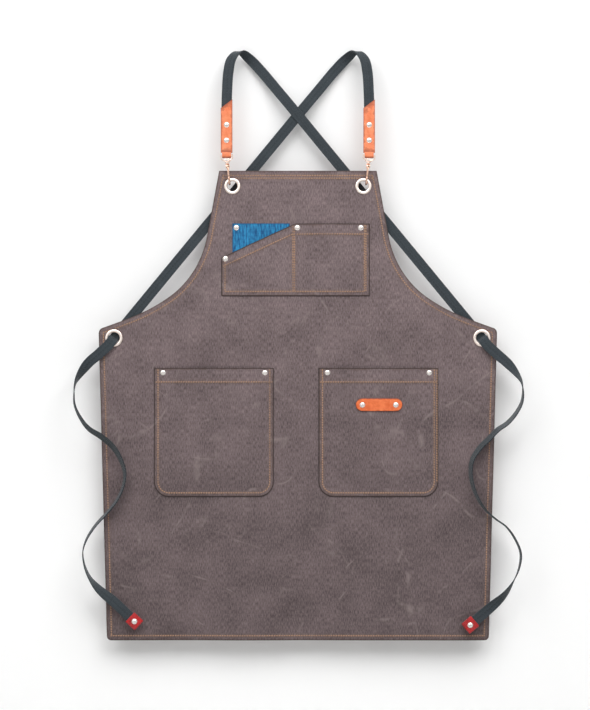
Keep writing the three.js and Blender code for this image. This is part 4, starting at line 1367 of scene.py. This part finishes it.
def makeEyelet(name, bore):
    low, high = boxOf(name)
    x, z, outer = roundOf(name)
    barrel, seat = bore + eyeletLook["wall"], panelFace - 0.3
    middle, half = (outer + bore) / 2, (outer - bore) / 2
    dome = [(middle - half * math.cos(a), seat - 0.45 - (-low.y + seat - 0.45) * math.sin(a))
            for a in [math.pi * i / 16 for i in range(17)]]
    ring = [(bore, high.y)] + dome + [
        (outer, seat - 0.15), (outer - 0.15, seat), (barrel, seat), (barrel, high.y), (bore, high.y),
    ]
    piece = turnedPiece(name + "_ring", ring, x, z, eyeletMetal, eyeletLook["segments"])

    # how far a point is from the ring's inner and outer edges, for the painted shade there
    def toRim(co):
        radius = np.hypot(co[:, 0] - x, co[:, 2] - z)
        return np.clip(np.minimum(radius - bore, outer - radius) / 2, 0, 1)
    markEdges(piece, toRim)
    settle(piece, name)
    low, high = boxOf(name + "_washer")
    reach, inner, back, top = roundOf(name + "_washer")[2], barrel + 0.3, low.y, high.y
    washer = [
        (inner, back), (reach - 0.2, back), (reach, back + 0.2), (reach - 0.1, back + 0.45),
        (reach - 0.8, back + 0.75), (inner + 1.4, top - 0.08), (inner + 0.7, top), (inner + 0.15, top - 0.2),
        (inner, back),
    ]
    piece = turnedPiece(name + "_ring_back", washer, x, z, roseGold, eyeletLook["segments"])
    settle(piece, name + "_washer")


def makeEyelets():
    for side in ("left", "right"):
        for kind, bore in eyeletLook["holes"].items():
            makeEyelet(side + kind, bore)


rivetLook = {"cap": 2.2, "lip": 0.5, "post": 1.6, "backPost": 1.9, "segments": 36}


def capHalf(radius, seat, top, towards):
    # a domed cap with a pressed lip, from its crown to its seat; towards is -1 to the front
    tall = abs(seat - top)
    lip, shoulder = rivetLook["lip"], radius - 0.75
    crown = [(shoulder * math.sin(a), seat + towards * (lip + (tall - lip) * math.cos(a)))
             for a in [math.pi / 2 * i / 9 for i in range(10)]]
    rim = [(shoulder + 0.12, 0.42), (radius - 0.1, 0.5), (radius, 0.3), (radius - 0.08, 0)]
    return crown + [(r, seat + towards * lift) for r, lift in rim]


def makeRivet(name, body="apron"):
    low, high = boxOf(name)
    x, z, radius = roundOf(name)
    post, backPost = rivetLook["post"], rivetLook["backPost"]
    if "_tab_" in name or "_tip_" in name:  # two caps on one post
        y, half = (low.y + high.y) / 2, (high.y - low.y) / 2
        seat = half - rivetLook["cap"]
        front = capHalf(radius, y - seat, y - half, -1) + [(post, y - seat)]
        profile = front + [(r, 2 * y - d) for r, d in reversed(front)]
    elif name.endswith("_back"):
        profile = [
            (0, high.y), (radius - 1.6, high.y), (radius - 0.7, high.y - 0.12), (radius - 0.15, high.y - 0.45),
            (radius, low.y + 0.25), (radius - 0.1, low.y), (backPost, low.y), (backPost, low.y + 0.5),
            (0, low.y + 0.5),
        ]
    else:
        seat = low.y + rivetLook["cap"]
        profile = capHalf(radius, seat, low.y, -1) + [(post, seat), (post, high.y), (0, high.y)]
    piece = turnedPiece(name + "_cap", profile, x, z, paleRivet, rivetLook["segments"])
    settle(piece, name, body)
    return piece


def makeRivets():
    for name in sorted(n for n in nodes if "rivet" in n and "_tip_" not in n):
        makeRivet(name)


# leather and hooks: copies of the frame's solids with their edges rounded off

def softened(node, name, look, width, segments=2, smooth=35, body="apron", flatten=True):
    source = nodes[node]
    mesh = source.data.copy()
    mesh.materials.clear()
    piece = bpy.data.objects.new(name, mesh)
    bpy.context.scene.collection.objects.link(piece)
    mesh.materials.append(look)
    work = bmesh.new()
    work.from_mesh(mesh)
    bmesh.ops.remove_doubles(work, verts=work.verts, dist=2e-6)
    if flatten:
        bmesh.ops.dissolve_limit(work, angle_limit=math.radians(1.0), verts=work.verts, edges=work.edges)
    work.to_mesh(mesh)
    work.free()
    for polygon in mesh.polygons:
        polygon.material_index = 0
    if width:
        bevel = piece.modifiers.new("rounding", "BEVEL")
        bevel.width = width * mm
        bevel.segments = segments
        bevel.limit_method = "ANGLE"
        bevel.angle_limit = math.radians(48)
        bevel.use_clamp_overlap = True
        bpy.context.view_layer.objects.active = piece
        piece.select_set(True)
        bpy.ops.object.modifier_apply(modifier="rounding")
        piece.select_set(False)
    sharpen(piece, smooth)
    mesh.update()
    settle(piece, node, body)
    return piece


def markEdges(piece, measure):
    # stores how far each point is from the leather's cut edge, 0 at the edge and 1 well inside
    mesh = piece.data
    co = np.zeros(len(mesh.vertices) * 3)
    mesh.vertices.foreach_get("co", co)
    share = measure(co.reshape(-1, 3) / mm).astype(np.float32)
    storeValues(mesh, "edge", share)


def makeLabel():
    low, high = boxOf("leather_label")
    half, level = (high.z - low.z) / 2, (high.z + low.z) / 2

    def halfRound(centre, start):
        turns = [math.radians(start + 180 * i / 24) for i in range(24)]
        return [(centre + half * math.cos(a), level + half * math.sin(a)) for a in turns]
    outline = halfRound(high.x - half, -90) + straight((high.x - half, high.z), (low.x + half, high.z), 3)
    outline += halfRound(low.x + half, 90) + straight((low.x + half, low.z), (high.x - half, low.z), 3)
    outline = np.array(outline)

    def front(x, z, edge=None):
        return low.y + 0.55 * rimRound(edge, 1.5) + 0.25 * np.exp(-((edge - 2.6) / 0.5) ** 2)

    def back(x, z, edge=None):
        return high.y - 0.1 * np.clip(1 - edge / 1.5, 0, 1)
    rings = (0.8, 1.5, 2.1, 2.6, 3.1, 4.0)
    piece = clothPiece("orange_label", outline, front, back, labelLeather, (), (), rings, 2.6, 0.3)
    mesh = piece.data
    values = np.zeros(len(mesh.vertices), np.float32)
    mesh.attributes["edge"].data.foreach_get("value", values)
    mesh.attributes["edge"].data.foreach_set("value", np.clip(values * 15 / 6, 0, 1))
    settle(piece, "leather_label")


tabLook = {"shortSide": 109.0, "slant": 0.75, "rounding": 0.45}


def makeLeather():
    for side in ("left", "right"):
        low, high = boxOf(side + "_leather_tab")
        tab = softened(side + "_leather_tab", side + "_tab_leather", orangeLeather, tabLook["rounding"])

        def toEdge(co, low=low, high=high):
            inward = np.minimum(co[:, 0] - low.x, high.x - co[:, 0])
            top = bibTop + tabLook["shortSide"] + (co[:, 0] - low.x) * tabLook["slant"] - co[:, 2]
            return np.clip(np.minimum(np.minimum(inward, top), (co[:, 2] - low.z) * 0.8) / 5, 0, 1)
        markEdges(tab, toEdge)
    makeLabel()
    print("leather made")


# node, name, finish, rounding of its edges, the angle that stays smooth, and its body
hookPieces = [
    ("_hook_eye", "_swivel_eye", paleRoseGold, 0.35, 35, "_eye"),
    ("_hook", "_snap_hook", roseGold, 0.25, 50, "_hook_body"),
    ("_hook_gate", "_snap_gate", roseGold, 0.3, 35, "_gate"),
]


def makeHooks():
    for side in ("left", "right"):
        for node, name, look, width, smooth, body in hookPieces:
            softened(side + node, side + name, look, width, smooth=smooth, body=side + body,
                     flatten=False)
        for small in ("_gate_pin", "_gate_spring"):
            node = nodes[side + small]
            node.data.materials.clear()
            node.data.materials.append(springSteel)
    print("hooks made")


makeTails()
makeShoulderStraps()
makePanel()
makeSkirtPocket("left")
makeSkirtPocket("right")
makeChestPocket()
makeLining()
print("pockets made")
makeEyelets()
makeRivets()
print("eyelets and rivets made")
makeLeather()
makeHooks()
